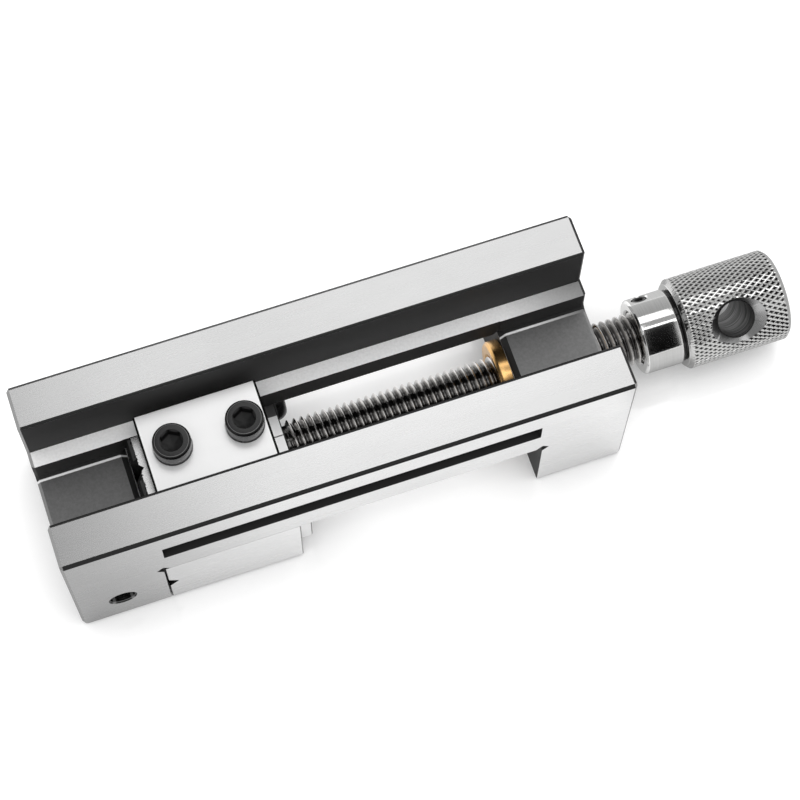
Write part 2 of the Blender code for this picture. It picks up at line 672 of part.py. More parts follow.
def make_knob(screw):
    """The knob: a neck that takes the screw's end, and a head with a cross hole."""
    groove = KNOB_NECK_LENGTH
    head = groove + KNOB_GROOVE_WIDTH
    end = head + KNOB_HEAD_LENGTH
    profile = [
        (0.0, end),
        (KNOB_HEAD_RADIUS - KNOB_RIM, end),
        (KNOB_HEAD_RADIUS, end - KNOB_RIM),
        (KNOB_HEAD_RADIUS, head + KNOB_RIM),
        (KNOB_HEAD_RADIUS - KNOB_RIM, head),
        (KNOB_NECK_RADIUS - KNOB_GROOVE_DEPTH, head),
        (KNOB_NECK_RADIUS - KNOB_GROOVE_DEPTH, groove),
        (KNOB_NECK_RADIUS, groove),
        (KNOB_NECK_RADIUS, KNOB_NECK_CHAMFER),
        (KNOB_NECK_RADIUS - KNOB_NECK_CHAMFER, 0.0),
        (KNOB_BORE_RADIUS, 0.0),
        (KNOB_BORE_RADIUS, SCREW_REACH + FIT_GAP),
        (0.0, SCREW_REACH + FIT_GAP),
    ]
    knob = turned("knob", profile, KNURLED_STEEL)
    place(knob, (0, 0, KNOB_X - THREAD_X), parent=screw)
    middle = (KNOB_HEAD_X + KNOB_HEAD_LENGTH / 2, 0, SCREW_HEIGHT)
    tilt = Euler((CROSS_HOLE_ANGLE, 0, 0))
    reach = KNOB_HEAD_RADIUS + PAST
    drill = add_object("cut_cross_hole", drum_mesh("cut_cross_hole", CROSS_HOLE_RADIUS,
                                                   CROSS_HOLE_RADIUS, -reach, reach))
    cut(knob, place(drill, middle, tilt))
    sink = CROSS_HOLE_COUNTERSINK
    flare = math.sqrt(KNOB_HEAD_RADIUS ** 2 - (CROSS_HOLE_RADIUS + sink) ** 2)
    for name, turn in (("near", 0), ("far", math.pi)):
        mouth = add_object("cut_mouth_" + name, drum_mesh(
            "cut_mouth_" + name, CROSS_HOLE_RADIUS, CROSS_HOLE_RADIUS + sink + PAST,
            flare - sink, flare + PAST))
        cut(knob, place(mouth, middle, (CROSS_HOLE_ANGLE + turn, 0, 0)))
    make_set_screw(knob, screw)
    return knob


def make_set_screw(knob, screw):
    """The set screw that locks the knob on the thread, square to the cross hole."""
    side = (KNOB_X + SET_SCREW_SETBACK, 0, SCREW_HEIGHT)
    tilt = CROSS_HOLE_ANGLE - math.radians(90)
    drill = add_object("cut_set_screw", drum_mesh(
        "cut_set_screw", SET_SCREW_RADIUS + FIT_GAP, SET_SCREW_RADIUS + FIT_GAP,
        THREAD_ROOT_RADIUS, KNOB_NECK_RADIUS + PAST))
    cut(knob, place(drill, side, (tilt, 0, 0)))
    bottom = THREAD_RADIUS + FIT_GAP
    top = KNOB_NECK_RADIUS - FIT_GAP
    profile = [
        (0.0, top),
        (SET_SCREW_RADIUS - SET_SCREW_CHAMFER, top),
        (SET_SCREW_RADIUS, top - SET_SCREW_CHAMFER),
        (SET_SCREW_RADIUS, bottom + SET_SCREW_CHAMFER),
        (SET_SCREW_RADIUS - SET_SCREW_CHAMFER, bottom),
        (0.0, bottom),
    ]
    pin = turned("knob_set_screw", profile, BLACK_OXIDE, SMALL_SEGMENTS)
    place(pin, (0, 0, KNOB_X + SET_SCREW_SETBACK - THREAD_X), parent=screw)
    pin.rotation_euler = (Matrix.Rotation(math.radians(-90), 3, "Y")
                          @ Matrix.Rotation(tilt, 3, "X")).to_euler()
    socket = hex_cutter("cut_hex_set_screw", SET_SCREW_HEX, SET_SCREW_HEX_DEPTH)
    up = Vector((0, -math.sin(tilt), math.cos(tilt)))
    cut(pin, place(socket, Vector(side) + up * top, (tilt, 0, 0)))
    return pin


def main():
    make_body()
    jaw = make_moving_jaw()
    make_keeper(jaw)
    for side, sign in (("near", -1), ("far", 1)):
        make_retainer_half("retaining_plate_" + side, sign, jaw)
        make_button_screw("retaining_screw_" + side, sign, jaw)
    make_nut()
    make_knob(make_lead_screw())


main()
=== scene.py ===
"""Looks of the precision toolmaker's vise.

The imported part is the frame. This file gives its ground faces their finish, and puts a
cut thread, a turned nut, a knurled knob and socket screws in place of the plain ones.
Lengths are in metres, with +X from the fixed jaw's end to the knob and +Z up.
"""

import math

import bmesh
import bpy
import numpy as np
from bpy.props import FloatProperty, FloatVectorProperty, IntProperty, PointerProperty
from mathutils import Matrix, Vector


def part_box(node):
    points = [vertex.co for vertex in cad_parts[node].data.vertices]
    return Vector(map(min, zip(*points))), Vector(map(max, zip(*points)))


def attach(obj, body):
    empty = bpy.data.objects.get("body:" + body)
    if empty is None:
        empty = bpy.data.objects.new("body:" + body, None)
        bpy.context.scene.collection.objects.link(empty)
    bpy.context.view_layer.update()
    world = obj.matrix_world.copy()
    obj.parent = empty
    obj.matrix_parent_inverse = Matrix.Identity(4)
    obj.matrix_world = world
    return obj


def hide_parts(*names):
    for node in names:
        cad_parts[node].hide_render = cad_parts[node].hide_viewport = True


bl_info = {
    "name": "Toolmakers vise looks",
    "version": (1, 0, 0),
    "blender": (4, 5, 0),
    "location": "3D View > Sidebar > Vise",
    "description": "Finishes, threads, knurl and stage of a precision toolmaker's vise",
    "category": "Object",
}

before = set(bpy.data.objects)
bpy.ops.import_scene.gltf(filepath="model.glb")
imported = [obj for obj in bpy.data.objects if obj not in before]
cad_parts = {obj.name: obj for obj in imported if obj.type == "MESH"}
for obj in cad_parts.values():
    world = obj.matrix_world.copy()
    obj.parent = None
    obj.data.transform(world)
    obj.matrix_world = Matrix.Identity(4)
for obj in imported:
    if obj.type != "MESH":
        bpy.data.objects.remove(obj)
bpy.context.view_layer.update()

BODY_LOW, BODY_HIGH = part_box("body")
JAW_LOW, JAW_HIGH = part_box("moving_jaw")
PLATE_LOW, PLATE_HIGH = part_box("keeper_plate")
SCREW_LOW, SCREW_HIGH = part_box("lead_screw")
NUT_LOW, NUT_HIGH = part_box("screw_nut")
KNOB_LOW, KNOB_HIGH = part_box("knob")

MM = 0.001
AXIS_Z = (KNOB_LOW.z + KNOB_HIGH.z) / 2

# Body
LEDGE_Z = JAW_HIGH.z
CHANNEL_HALF = 13.0 * MM
SLOT_HALF = 8.75 * MM
SLOT_LEVEL = (23.0 * MM, 27.0 * MM)
BED_TOP_Z = 25.0 * MM
FIXED_FACE_X = BODY_LOW.x + 24.0 * MM
LUG_FACE_X = BODY_HIGH.x - 24.0 * MM
SIDE_SLOT_Z = (34.1 * MM, 41.3 * MM)
SIDE_SLOT_DEPTH = 6.0 * MM
SIDE_HOLE = (BODY_LOW.x + 12.0 * MM, 0.0, 12.6 * MM)
SIDE_HOLE_RADIUS = 3.4 * MM

# Lead screw
THREAD_RADIUS = 7.0 * MM
THREAD_START_X = SCREW_LOW.x + 13.7 * MM

# Knob
KNOB_HEAD_X = KNOB_LOW.x + 11.5 * MM
KNOB_MIDDLE = ((KNOB_HEAD_X + KNOB_HIGH.x) / 2, 0.0, AXIS_Z)
KNOB_RADIUS = 12.5 * MM
KNOB_NECK_RADIUS = 10.3 * MM
KNOB_RIM = 1.1 * MM
CROSS_HOLE_TILT = math.radians(40)
CROSS_HOLE_RADIUS = 5.0 * MM
CROSS_HOLE_SINK = 1.2 * MM
CROSS_HOLE_MOUTH = (math.sqrt(KNOB_RADIUS ** 2 - (CROSS_HOLE_RADIUS + CROSS_HOLE_SINK) ** 2)
                    - CROSS_HOLE_SINK)
SET_SCREW_PLACE = (KNOB_LOW.x + 3.7 * MM, 0.0, AXIS_Z)
SET_SCREW_TURN = Matrix.Rotation(CROSS_HOLE_TILT - math.pi / 2, 3, "X")

# A turned piece is drawn about its own +Z. These turn that to +X or leave it.
ALONG_X = Matrix(((0, 0, 1), (1, 0, 0), (0, 1, 0)))
ALONG_Z = Matrix.Identity(3)

# Masks: the soft edge of most of them, and a limit beyond every piece, which leaves an end open.
SHARP = 0.02 * MM
FAR = 1.0
# The range that noise mostly keeps to, and the narrower one that gives it harder specks.
NOISE = (0.3, 0.7)
SPECKS = (0.35, 0.65)
WHITE = (1.0, 1.0, 1.0, 1.0)


def linear(hex_colour):
    """An sRGB hex colour as the linear RGBA that shaders take."""
    parts = [int(hex_colour[i:i + 2], 16) / 255 for i in (1, 3, 5)]
    straight = [c / 12.92 if c <= 0.04045 else ((c + 0.055) / 1.055) ** 2.4 for c in parts]
    return (*straight, 1.0)


LENGTH = {"subtype": "DISTANCE", "unit": "LENGTH"}
COLOUR = {"subtype": "COLOR", "size": 4, "min": 0.0, "max": 1.0}


class ViseSizes(bpy.types.PropertyGroup):
    """Sizes of the details that the plain model leaves out."""

    thread_pitch: FloatProperty(
        name="Thread pitch", description="Advance of the lead screw in one turn",
        default=2.0 * MM, min=0.5 * MM, **LENGTH)
    thread_depth: FloatProperty(
        name="Thread depth", description="Height of the lead screw's thread from root to crest",
        default=1.2269 * MM, min=0.1 * MM, **LENGTH)
    knurl_teeth: IntProperty(
        name="Knurl teeth", description="Diamonds in one ring round the knob", default=54, min=8)
    knurl_rows: IntProperty(
        name="Knurl rows", description="Diamonds along the knob's head", default=11, min=2)
    knurl_depth: FloatProperty(
        name="Knurl depth", description="Depth of the pits between the ridges",
        default=0.42 * MM, min=0.05 * MM, **LENGTH)
    edge_round: FloatProperty(
        name="Edge rounding", description="Radius that stoning leaves on a ground edge",
        default=0.04 * MM, min=0.0, **LENGTH)


class ViseFinishes(bpy.types.PropertyGroup):
    """Colours of the finishes."""

    ground_steel: FloatVectorProperty(
        name="Ground steel", description="Colour of the surface-ground faces",
        default=linear("#dcdcdc"), **COLOUR)
    jaw_steel: FloatVectorProperty(
        name="Jaw steel", description="Colour of the moving jaw's ground faces",
        default=linear("#dfdfdf"), **COLOUR)
    plate_steel: FloatVectorProperty(
        name="Plate steel", description="Colour of the small ground plates",
        default=linear("#f3f3f3"), **COLOUR)
    channel_wall: FloatVectorProperty(
        name="Channel wall", description="Colour of the dark walls of the channel and slots",
        default=linear("#323232"), **COLOUR)
    slot_floor: FloatVectorProperty(
        name="Slot floor", description="Colour of the milled floor of the slot",
        default=linear("#868686"), **COLOUR)
    black_oxide: FloatVectorProperty(
        name="Black oxide", description="Colour of the blackened screws",
        default=linear("#0b0b0c"), **COLOUR)
    screw_steel: FloatVectorProperty(
        name="Screw steel", description="Colour of the cut thread",
        default=linear("#dad8d6"), **COLOUR)
    brass: FloatVectorProperty(
        name="Brass", description="Colour of the turned nut",
        default=linear("#e6b878"), **COLOUR)
    knob_steel: FloatVectorProperty(
        name="Knob steel", description="Colour of the turned and knurled knob",
        default=linear("#e8e8e7"), **COLOUR)


class ViseStage(bpy.types.PropertyGroup):
    """The camera, lamps and floor."""

    azimuth: FloatProperty(
        name="Azimuth", description="Camera's bearing round the vise, from the -Y side",
        default=math.radians(-19.712), subtype="ANGLE", unit="ROTATION")
    elevation: FloatProperty(
        name="Elevation", description="Camera's height angle above the floor",
        default=math.radians(69.529), subtype="ANGLE", unit="ROTATION")
    roll: FloatProperty(
        name="Roll", description="Camera's turn about its own line of sight",
        default=math.radians(0.994), subtype="ANGLE", unit="ROTATION")
    focal_length: FloatProperty(
        name="Focal length", description="Camera's focal length in millimetres",
        default=108.175, min=10.0, subtype="DISTANCE_CAMERA")
    place: FloatVectorProperty(
        name="Camera place", description="Where the camera stands",
        default=(-0.079363, -0.206358, 0.610288), size=3, subtype="TRANSLATION", unit="LENGTH")
    panel_radiance: FloatProperty(
        name="Panel brightness", description="Brightness of the overhead panel behind the vise",
        default=1.28, min=0.0)
    front_radiance: FloatProperty(
        name="Front panel brightness", description="Brightness of the panel over the thread",
        default=1.5, min=0.0)
    strip_radiance: FloatProperty(
        name="Strip brightness", description="Brightness of the narrow lamp over the knob",
        default=2.2, min=0.0)
    floor_glow: FloatProperty(
        name="Floor glow", description="Light that the paper floor adds to its lit colour",
        default=0.55, min=0.0)


def put(tree, socket, value):
    """Links a socket to another node's output, or sets it to a plain value."""
    if isinstance(value, bpy.types.NodeSocket):
        tree.links.new(value, socket)
    else:
        socket.default_value = value


def add_node(tree, kind, inputs=(), **settings):
    """Adds a node with its settings and inputs, and gives back its outputs.

    The inputs are a list in the order of the sockets, or a dict by name or number.
    """
    node = tree.nodes.new(kind)
    for name, value in settings.items():
        setattr(node, name, value)
    for key, value in inputs.items() if isinstance(inputs, dict) else enumerate(inputs):
        put(tree, node.inputs[key], value)
    return node.outputs


def new_material(name):
    """An empty node material and its tree."""
    material = bpy.data.materials.new(name)
    material.use_nodes = True
    return material, material.node_tree


def dress(tree, looks):
    """Links or sets the sockets of a tree's Principled shader by their names."""
    for name, value in looks.items():
        put(tree, tree.nodes["Principled BSDF"].inputs[name], value)


def band(tree, value, low, high, edge=SHARP):
    """A mask that is 1 where a value lies from low to high, with soft edges that wide."""
    rise, fall = (add_node(tree, "ShaderNodeMapRange", ends, interpolation_type="SMOOTHSTEP")[0]
                  for ends in ((value, low - edge, low + edge, 0.0, 1.0),
                               (value, high - edge, high + edge, 1.0, 0.0)))
    return all_of(tree, rise, fall)


def all_of(tree, *masks, operation="MULTIPLY"):
    """The product of several masks, which is 1 where all of them are."""
    result = masks[0]
    for mask in masks[1:]:
        result = add_node(tree, "ShaderNodeMath", [result, mask], operation=operation)[0]
    return result


def any_of(tree, *masks):
    """The highest of several masks, which is 1 where any of them is."""
    return all_of(tree, *masks, operation="MAXIMUM")


def facing_masks(tree, normal):
    """Masks of the chamfers that run along X, of those at the ends, and of each facing.

    A chamfer faces halfway between two axes, so two parts of its normal are about 0.71.
    """
    parts = add_node(tree, "ShaderNodeSeparateXYZ", [normal])
    size = [add_node(tree, "ShaderNodeMath", [part], operation="ABSOLUTE")[0] for part in parts]
    half = [band(tree, part, 0.5, 0.9, 0.02) for part in size]
    return {
        "long_chamfer": all_of(tree, half[1], half[2]),
        "end_chamfer": any_of(tree, all_of(tree, half[0], half[1]),
                              all_of(tree, half[0], half[2])),
        "up": band(tree, parts[2], 0.97, 2.0, 0.01),
        "level": band(tree, parts[2], -0.2, 0.2, 0.01),
        "endways": band(tree, size[0], 0.97, 2.0, 0.01),
        "sideways": band(tree, size[1], 0.5, 2.0, 0.1),
    }


def layered(tree, kind, base, *layers):
    """A colour (RGBA) or number (FLOAT) with layers laid over it, each a mask and a value."""
    first, result = {"FLOAT": (2, 0), "RGBA": (6, 2)}[kind]
    for mask, value in layers:
        base = add_node(tree, "ShaderNodeMix", {0: mask, first: base, first + 1: value},
                        data_type=kind)[result]
    return base


def toned(tree, colour, *tones):
    """A colour made darker or lighter by the product of some tones."""
    if not isinstance(colour, bpy.types.NodeSocket):
        colour = colour[:3]
    return add_node(tree, "ShaderNodeVectorMath", {0: colour, "Scale": all_of(tree, *tones)},
                    operation="SCALE")[0]


def grain(tree, coordinates, stretch, size, detail=3.0):
    """Noise of a real size, drawn out along the axes with a stretch above 1."""
    drawn = add_node(tree, "ShaderNodeMapping", {
        "Vector": coordinates, "Scale": [1 / (size * length) for length in stretch]})
    return add_node(tree, "ShaderNodeTexNoise", {
        "Vector": drawn[0], "Scale": 1.0, "Detail": detail, "Roughness": 0.6})[0]


def ground_finish(name, colour, radius, along=(60.0, 1.0, 1.0), roughness=0.27):
    """Surface-ground hardened steel.

    The wheel leaves fine parallel lines along the table's travel. They are about 0.05 mm
    apart, which is too fine to show, so they are drawn at 0.3 mm. They give the eye a
    satin sheen that is a little streaky, and stoned edges that catch a thin light line.
    """
    material, tree = new_material(name)
    place = add_node(tree, "ShaderNodeTexCoord")
    lines = grain(tree, place["Object"], along, 0.3 * MM)
    clouds = grain(tree, place["Object"], (2.0, 1.0, 1.0), 9.0 * MM, 2.0)
    tone, drift, sheen = (add_node(tree, "ShaderNodeMapRange", ends)[0] for ends in (
        (lines, *NOISE, 0.995, 1.004), (clouds, *NOISE, 0.98, 1.02),
        (lines, *NOISE, roughness - 0.008, roughness + 0.008)))
    edge = add_node(tree, "ShaderNodeBevel", [radius], samples=6)
    relief = add_node(tree, "ShaderNodeBump", {
        "Height": lines, "Strength": 0.006, "Distance": 0.02 * MM, "Normal": edge[0]})
    dress(tree, {"Metallic": 1.0, "Specular IOR Level": 0.15, "Normal": relief[0]})
    return material, tree, place, toned(tree, colour, tone, drift), sheen


def body_material(finishes, sizes):
    """The body's ground steel, with the walls and floors that the wheel never reached.

    The channel's ledges are ground and lightly speckled. Its walls keep the dark skin of
    hardening, and their near-black bands are partly painted shade; the side slots, the relief
    notches, the lug's inner face and the side holes are painted dark as shade. The slot's
    floor is milled dark grey, with a painted highlight along the fillet beside it.
    """
    material, tree, place, ground, sheen = ground_finish(
        "ground_tool_steel_body", finishes.ground_steel, sizes.edge_round)
    x, y, z = add_node(tree, "ShaderNodeSeparateXYZ", [place["Object"]])
    faces = facing_masks(tree, place["Normal"])
    off_centre = add_node(tree, "ShaderNodeMath", [y], operation="ABSOLUTE")[0]

    # The channel: its ledges, the slot's floor, the painted highlight along the fillet and the
    # walls.
    slot_level = band(tree, z, *SLOT_LEVEL)
    inside = all_of(tree, band(tree, off_centre, -FAR, CHANNEL_HALF + 0.1 * MM),
                    band(tree, z, SLOT_LEVEL[0], BODY_HIGH.z - 0.34 * MM))
    in_slot = all_of(tree, inside, slot_level)
    ledge = all_of(tree, inside, faces["up"], band(tree, z, LEDGE_Z - 1 * MM, LEDGE_Z + 1 * MM))
    floor_half = SLOT_HALF - 0.6 * MM
    floor = all_of(tree, in_slot, band(tree, off_centre, -FAR, floor_half))
    foot = all_of(tree, in_slot, band(tree, off_centre, floor_half, FAR))
    fillet_highlight = all_of(tree, in_slot, band(tree, off_centre, SLOT_HALF - 1.2 * MM,
                                        SLOT_HALF - 0.65 * MM, 0.12 * MM))
    wall = any_of(tree, all_of(tree, inside, faces["level"]), foot)

    # The relief notches, the lug's inner face, the side slots and the side holes, all painted
    # darker as shade.
    near_ends = any_of(tree, *(band(tree, x, face - 1.9 * MM, face + 1.9 * MM)
                               for face in (FIXED_FACE_X, LUG_FACE_X)))
    not_outer = add_node(tree, "ShaderNodeMath", [
        1.0, any_of(tree, faces["sideways"], faces["up"])], operation="SUBTRACT")[0]
    notch = all_of(tree, near_ends, slot_level, not_outer)
    lug_face = all_of(tree, faces["endways"], band(tree, z, -FAR, BED_TOP_Z - 1 * MM),
                      band(tree, x, LUG_FACE_X - 0.3 * MM, LUG_FACE_X + 0.3 * MM))
    side_slot = all_of(tree, band(tree, off_centre, BODY_HIGH.y - SIDE_SLOT_DEPTH - 0.1 * MM,
                                  BODY_HIGH.y - 0.05 * MM),
                       band(tree, z, *SIDE_SLOT_Z), band(tree, x, FIXED_FACE_X, LUG_FACE_X))
    level = add_node(tree, "ShaderNodeCombineXYZ", {0: x, 2: z})[0]
    reach = add_node(tree, "ShaderNodeVectorMath", [level, SIDE_HOLE], operation="DISTANCE")
    hole = all_of(tree, band(tree, reach["Value"], -FAR, SIDE_HOLE_RADIUS + 0.1 * MM),
                  band(tree, off_centre, 10 * MM, BODY_HIGH.y - 0.3 * MM))

    # The chamfers and the line along the channel's lips, painted near-black as shade, and the
    # left end's chamfers, painted pale as a highlight.
    lip = all_of(tree, band(tree, z, BODY_HIGH.z - 0.32 * MM, FAR),
                 band(tree, off_centre, CHANNEL_HALF - 0.1 * MM, CHANNEL_HALF + 0.75 * MM))
    edges = any_of(tree, faces["long_chamfer"], faces["end_chamfer"], lip)
    left_end_highlight = all_of(tree, faces["end_chamfer"], band(tree, x, -FAR, BODY_LOW.x + 1 * MM))

    # Painted light: the near rail is painted lighter towards the knob, the far one lighter
    # towards the other end, and the slot's floor lighter towards the lug. The ledges grow
    # darker towards the knob's end.
    speckle = grain(tree, place["Object"], (1.0, 1.0, 1.0), 0.7 * MM, 4.0)
    by = {name: add_node(tree, "ShaderNodeMapRange", ends)[0] for name, ends in {
        "mottled": (speckle, *SPECKS, 0.91, 1.0),
        "milled": (speckle, *SPECKS, 0.92, 1.08),
        "ledge_end": (x, LUG_FACE_X + 2 * MM, BODY_HIGH.x, 1.0, 0.28),
        "floor_painted_light": (x, FIXED_FACE_X, LUG_FACE_X, 1.0, 1.15),
        "fillet_highlight_fade": (x, LUG_FACE_X + 9 * MM, BODY_HIGH.x, 1.0, 0.15),
        "near_rail_painted_light": (x, BODY_LOW.x, BODY_LOW.x + 55 * MM, 0.69, 0.92),
        "far_rail_painted_light": (x, BODY_LOW.x + 10 * MM, BODY_LOW.x + 60 * MM, 0.97, 0.75),
        "across": (y, -CHANNEL_HALF, CHANNEL_HALF),
    }.items()}
    rail = layered(tree, "FLOAT", by["near_rail_painted_light"], (by["across"], by["far_rail_painted_light"]))
    # The walls keep the dark skin of hardening and their near-black is partly painted shade; in
    # the slots, the notches and on the lug's inner face it is painted shade.
    dark = any_of(tree, wall, notch, side_slot, lug_face)
    # Painted light and shade in the base colour: the dark chamfers and lips, the pale left end,
    # the rails' and floor's gradients, the dark walls and recesses, the fillet's highlight and
    # the darker side holes.
    dress(tree, {
        "Base Color": layered(
            tree, "RGBA", toned(tree, ground, rail),
            (edges, linear("#242424")), (left_end_highlight, linear("#9a9a9a")),
            (ledge, toned(tree, linear("#fcfcfc"), by["mottled"], by["ledge_end"])),
            (floor, toned(tree, finishes.slot_floor, by["milled"], by["floor_painted_light"])),
            (dark, finishes.channel_wall),
            (fillet_highlight, toned(tree, linear("#fafafa"), by["fillet_highlight_fade"])),
            (hole, linear("#6e6e6e"))),
        "Roughness": layered(tree, "FLOAT", sheen, (any_of(tree, dark, floor), 0.55),
                             (ledge, 0.6)),
        "Metallic": layered(tree, "FLOAT", 1.0, (any_of(tree, dark, ledge, fillet_highlight, edges), 0.0)),
    })
    return material


def jaw_material(finishes, sizes):
    """The moving jaw's ground steel, with painted shade in its V grooves and on its tongue's
    front.

    The front of the tongue's top was broken off by hand, which leaves a ragged line between
    a slope painted dark as shade and a bright flat. The chamfers, the tongue's nose and the V
    grooves are painted near-black as shade.
    """
    material, tree, place, ground, sheen = ground_finish(
        "ground_tool_steel_jaw", finishes.jaw_steel, sizes.edge_round)
    x, y, z = add_node(tree, "ShaderNodeSeparateXYZ", [place["Object"]])
    faces = facing_masks(tree, place["Normal"])
    rag = grain(tree, place["Object"], (1.0, 1.0, 1.0), 0.7 * MM, 4.0)
    ragged_x = add_node(tree, "ShaderNodeMath", [rag, 3.4 * MM, x], operation="MULTIPLY_ADD")[0]
    above_bed = band(tree, z, BED_TOP_Z, FAR)
    front = all_of(tree, above_bed, band(tree, ragged_x, -FAR, JAW_LOW.x + 3.3 * MM, 0.05 * MM))
    nose = all_of(tree, above_bed, band(tree, x, -FAR, JAW_LOW.x + 0.7 * MM))
    groove = all_of(
        tree, band(tree, x, JAW_LOW.x + 0.32 * MM, JAW_LOW.x + 3 * MM), faces["end_chamfer"],
        any_of(tree, band(tree, y, -2.8 * MM, 2.8 * MM), band(tree, z, 9.7 * MM, 15.3 * MM)))
    edges = any_of(tree, faces["long_chamfer"], faces["end_chamfer"])
    # Painted shade: the chamfers, the slope and nose of the tongue's front, and the V grooves.
    dull = any_of(tree, front, groove, nose)
    dress(tree, {
        "Base Color": layered(
            tree, "RGBA", ground, (edges, linear("#262626")), (front, linear("#424242")),
            (any_of(tree, groove, nose), linear("#141414"))),
        "Roughness": layered(tree, "FLOAT", sheen, (dull, 0.5)),
        "Metallic": layered(tree, "FLOAT", 1.0, (dull, 0.0)),
    })
    return material


def plate_material(finishes, sizes):
    """Small ground plates: the same steel with a brighter, finer and cross-ground face.

    The far end of the split plate lies in the rail's corner, where it is painted dark as shade.
    The chamfers and end lines are painted near-black as shade.
    """
    material, tree, place, ground, sheen = ground_finish(
        "ground_tool_steel_plates", finishes.plate_steel, sizes.edge_round,
        along=(2.0, 30.0, 2.0), roughness=0.34)
    faces = facing_masks(tree, place["Normal"])
    parts = add_node(tree, "ShaderNodeSeparateXYZ", [place["Object"]])
    # Painted shade: the split plate's far corner, and the chamfers and ends.
    corner = all_of(tree, band(tree, parts[0], PLATE_HIGH.x, FAR),
                    band(tree, parts[1], 5.6 * MM, FAR, 0.1 * MM))
    end_lines = [band(tree, parts[0], low, high) for low, high in (
        (PLATE_LOW.x - 1 * MM, PLATE_LOW.x + 0.5 * MM),
        (PLATE_HIGH.x - 0.6 * MM, PLATE_HIGH.x + 0.1 * MM))]
    edges = any_of(tree, faces["long_chamfer"], faces["end_chamfer"], *end_lines)
    dress(tree, {
        "Base Color": layered(tree, "RGBA", ground, (corner, linear("#565656")),
                              (edges, linear("#0c0c0c"))),
        "Roughness": sheen,
        "Metallic": 0.6,
    })
    return material


def black_oxide_material(node, finishes, axis, centre, mouth):
    """Black oxide on machined alloy steel, for one screw with its axis, centre and mouth.

    The oxide is a thin dark film that shines like a dark lacquer at a glancing angle and is
    near black from above, with a fine tooth from the turning below it. The head's side is
    painted greyer as a painted reflection, its chamfer and socket are painted blacker as
    shade, and the rounded rims carry a painted highlight.
    """
    material, tree = new_material("black_oxide_" + node)
    place = add_node(tree, "ShaderNodeTexCoord")
    tooth = grain(tree, place["Object"], (1.0, 1.0, 1.0), 0.25 * MM)
    tone = add_node(tree, "ShaderNodeMapRange", [tooth, *NOISE, 0.6, 1.5])[0]
    lean = add_node(tree, "ShaderNodeVectorMath", [place["Normal"], axis],
                    operation="DOT_PRODUCT")["Value"]
    side = band(tree, lean, -0.1, 0.1, 0.03)
    chamfer = band(tree, lean, 0.6, 0.8, 0.03)
    rim = band(tree, lean, 0.86, 0.96, 0.02)
    off_axis = distance_from_axis(tree, place["Object"], centre, axis)
    socket = band(tree, off_axis, -FAR, mouth, 0.05 * MM)
    relief = add_node(tree, "ShaderNodeBump", {
        "Height": tooth, "Strength": 0.2, "Distance": 0.02 * MM})
    # Painted reflection on the side, painted shade on the chamfer and socket, and a painted
    # highlight on the rims.
    dress(tree, {
        "Base Color": layered(
            tree, "RGBA", toned(tree, finishes.black_oxide, tone), (side, linear("#4c4c4d")),
            (chamfer, linear("#050505")), (rim, linear("#6c6c6c")), (socket, linear("#070707"))),
        "Roughness": layered(tree, "FLOAT", 0.27, (socket, 0.5)),
        "Normal": relief[0],
    })
    return material


def distance_from_axis(tree, point, centre, axis):
    """How far a point lies from the line through a centre along an axis of length 1.

    It is the length of the cross product of the axis and the way from the centre.
    """
    way = add_node(tree, "ShaderNodeVectorMath", [point, centre], operation="SUBTRACT")[0]
    across = add_node(tree, "ShaderNodeVectorMath", [way, axis], operation="CROSS_PRODUCT")[0]
    return add_node(tree, "ShaderNodeVectorMath", [across], operation="LENGTH")["Value"]


def thread_material(finishes, sizes):
    """Cut thread: bright crests, with the flanks and roots painted darker towards the root as
    shade.
    """
    material, tree = new_material("cut_thread_steel")
    place = add_node(tree, "ShaderNodeTexCoord")
    radius = distance_from_axis(tree, place["Object"], (0.0, 0.0, AXIS_Z), (1.0, 0.0, 0.0))
    # Painted shade: the thread is painted darker the nearer it lies to the root.
    height = add_node(tree, "ShaderNodeMapRange", [
        radius, THREAD_RADIUS - sizes.thread_depth, THREAD_RADIUS, 0.16, 1.0])[0]
    dress(tree, {"Base Color": toned(tree, finishes.screw_steel, height),
                 "Metallic": 1.0, "Roughness": 0.13})
    return material


def brass_material(finishes):
    """Turned brass: warm and bright, with faint rings from the tool."""
    material, tree = new_material("turned_brass")
    place = add_node(tree, "ShaderNodeTexCoord")
    rings = grain(tree, place["Object"], (1.0, 60.0, 60.0), 0.25 * MM, 2.0)
    tone = add_node(tree, "ShaderNodeMapRange", [rings, *NOISE, 0.93, 1.05])[0]
    dress(tree, {"Base Color": toned(tree, finishes.brass, tone),
                 "Metallic": 1.0, "Roughness": 0.24})
    return material


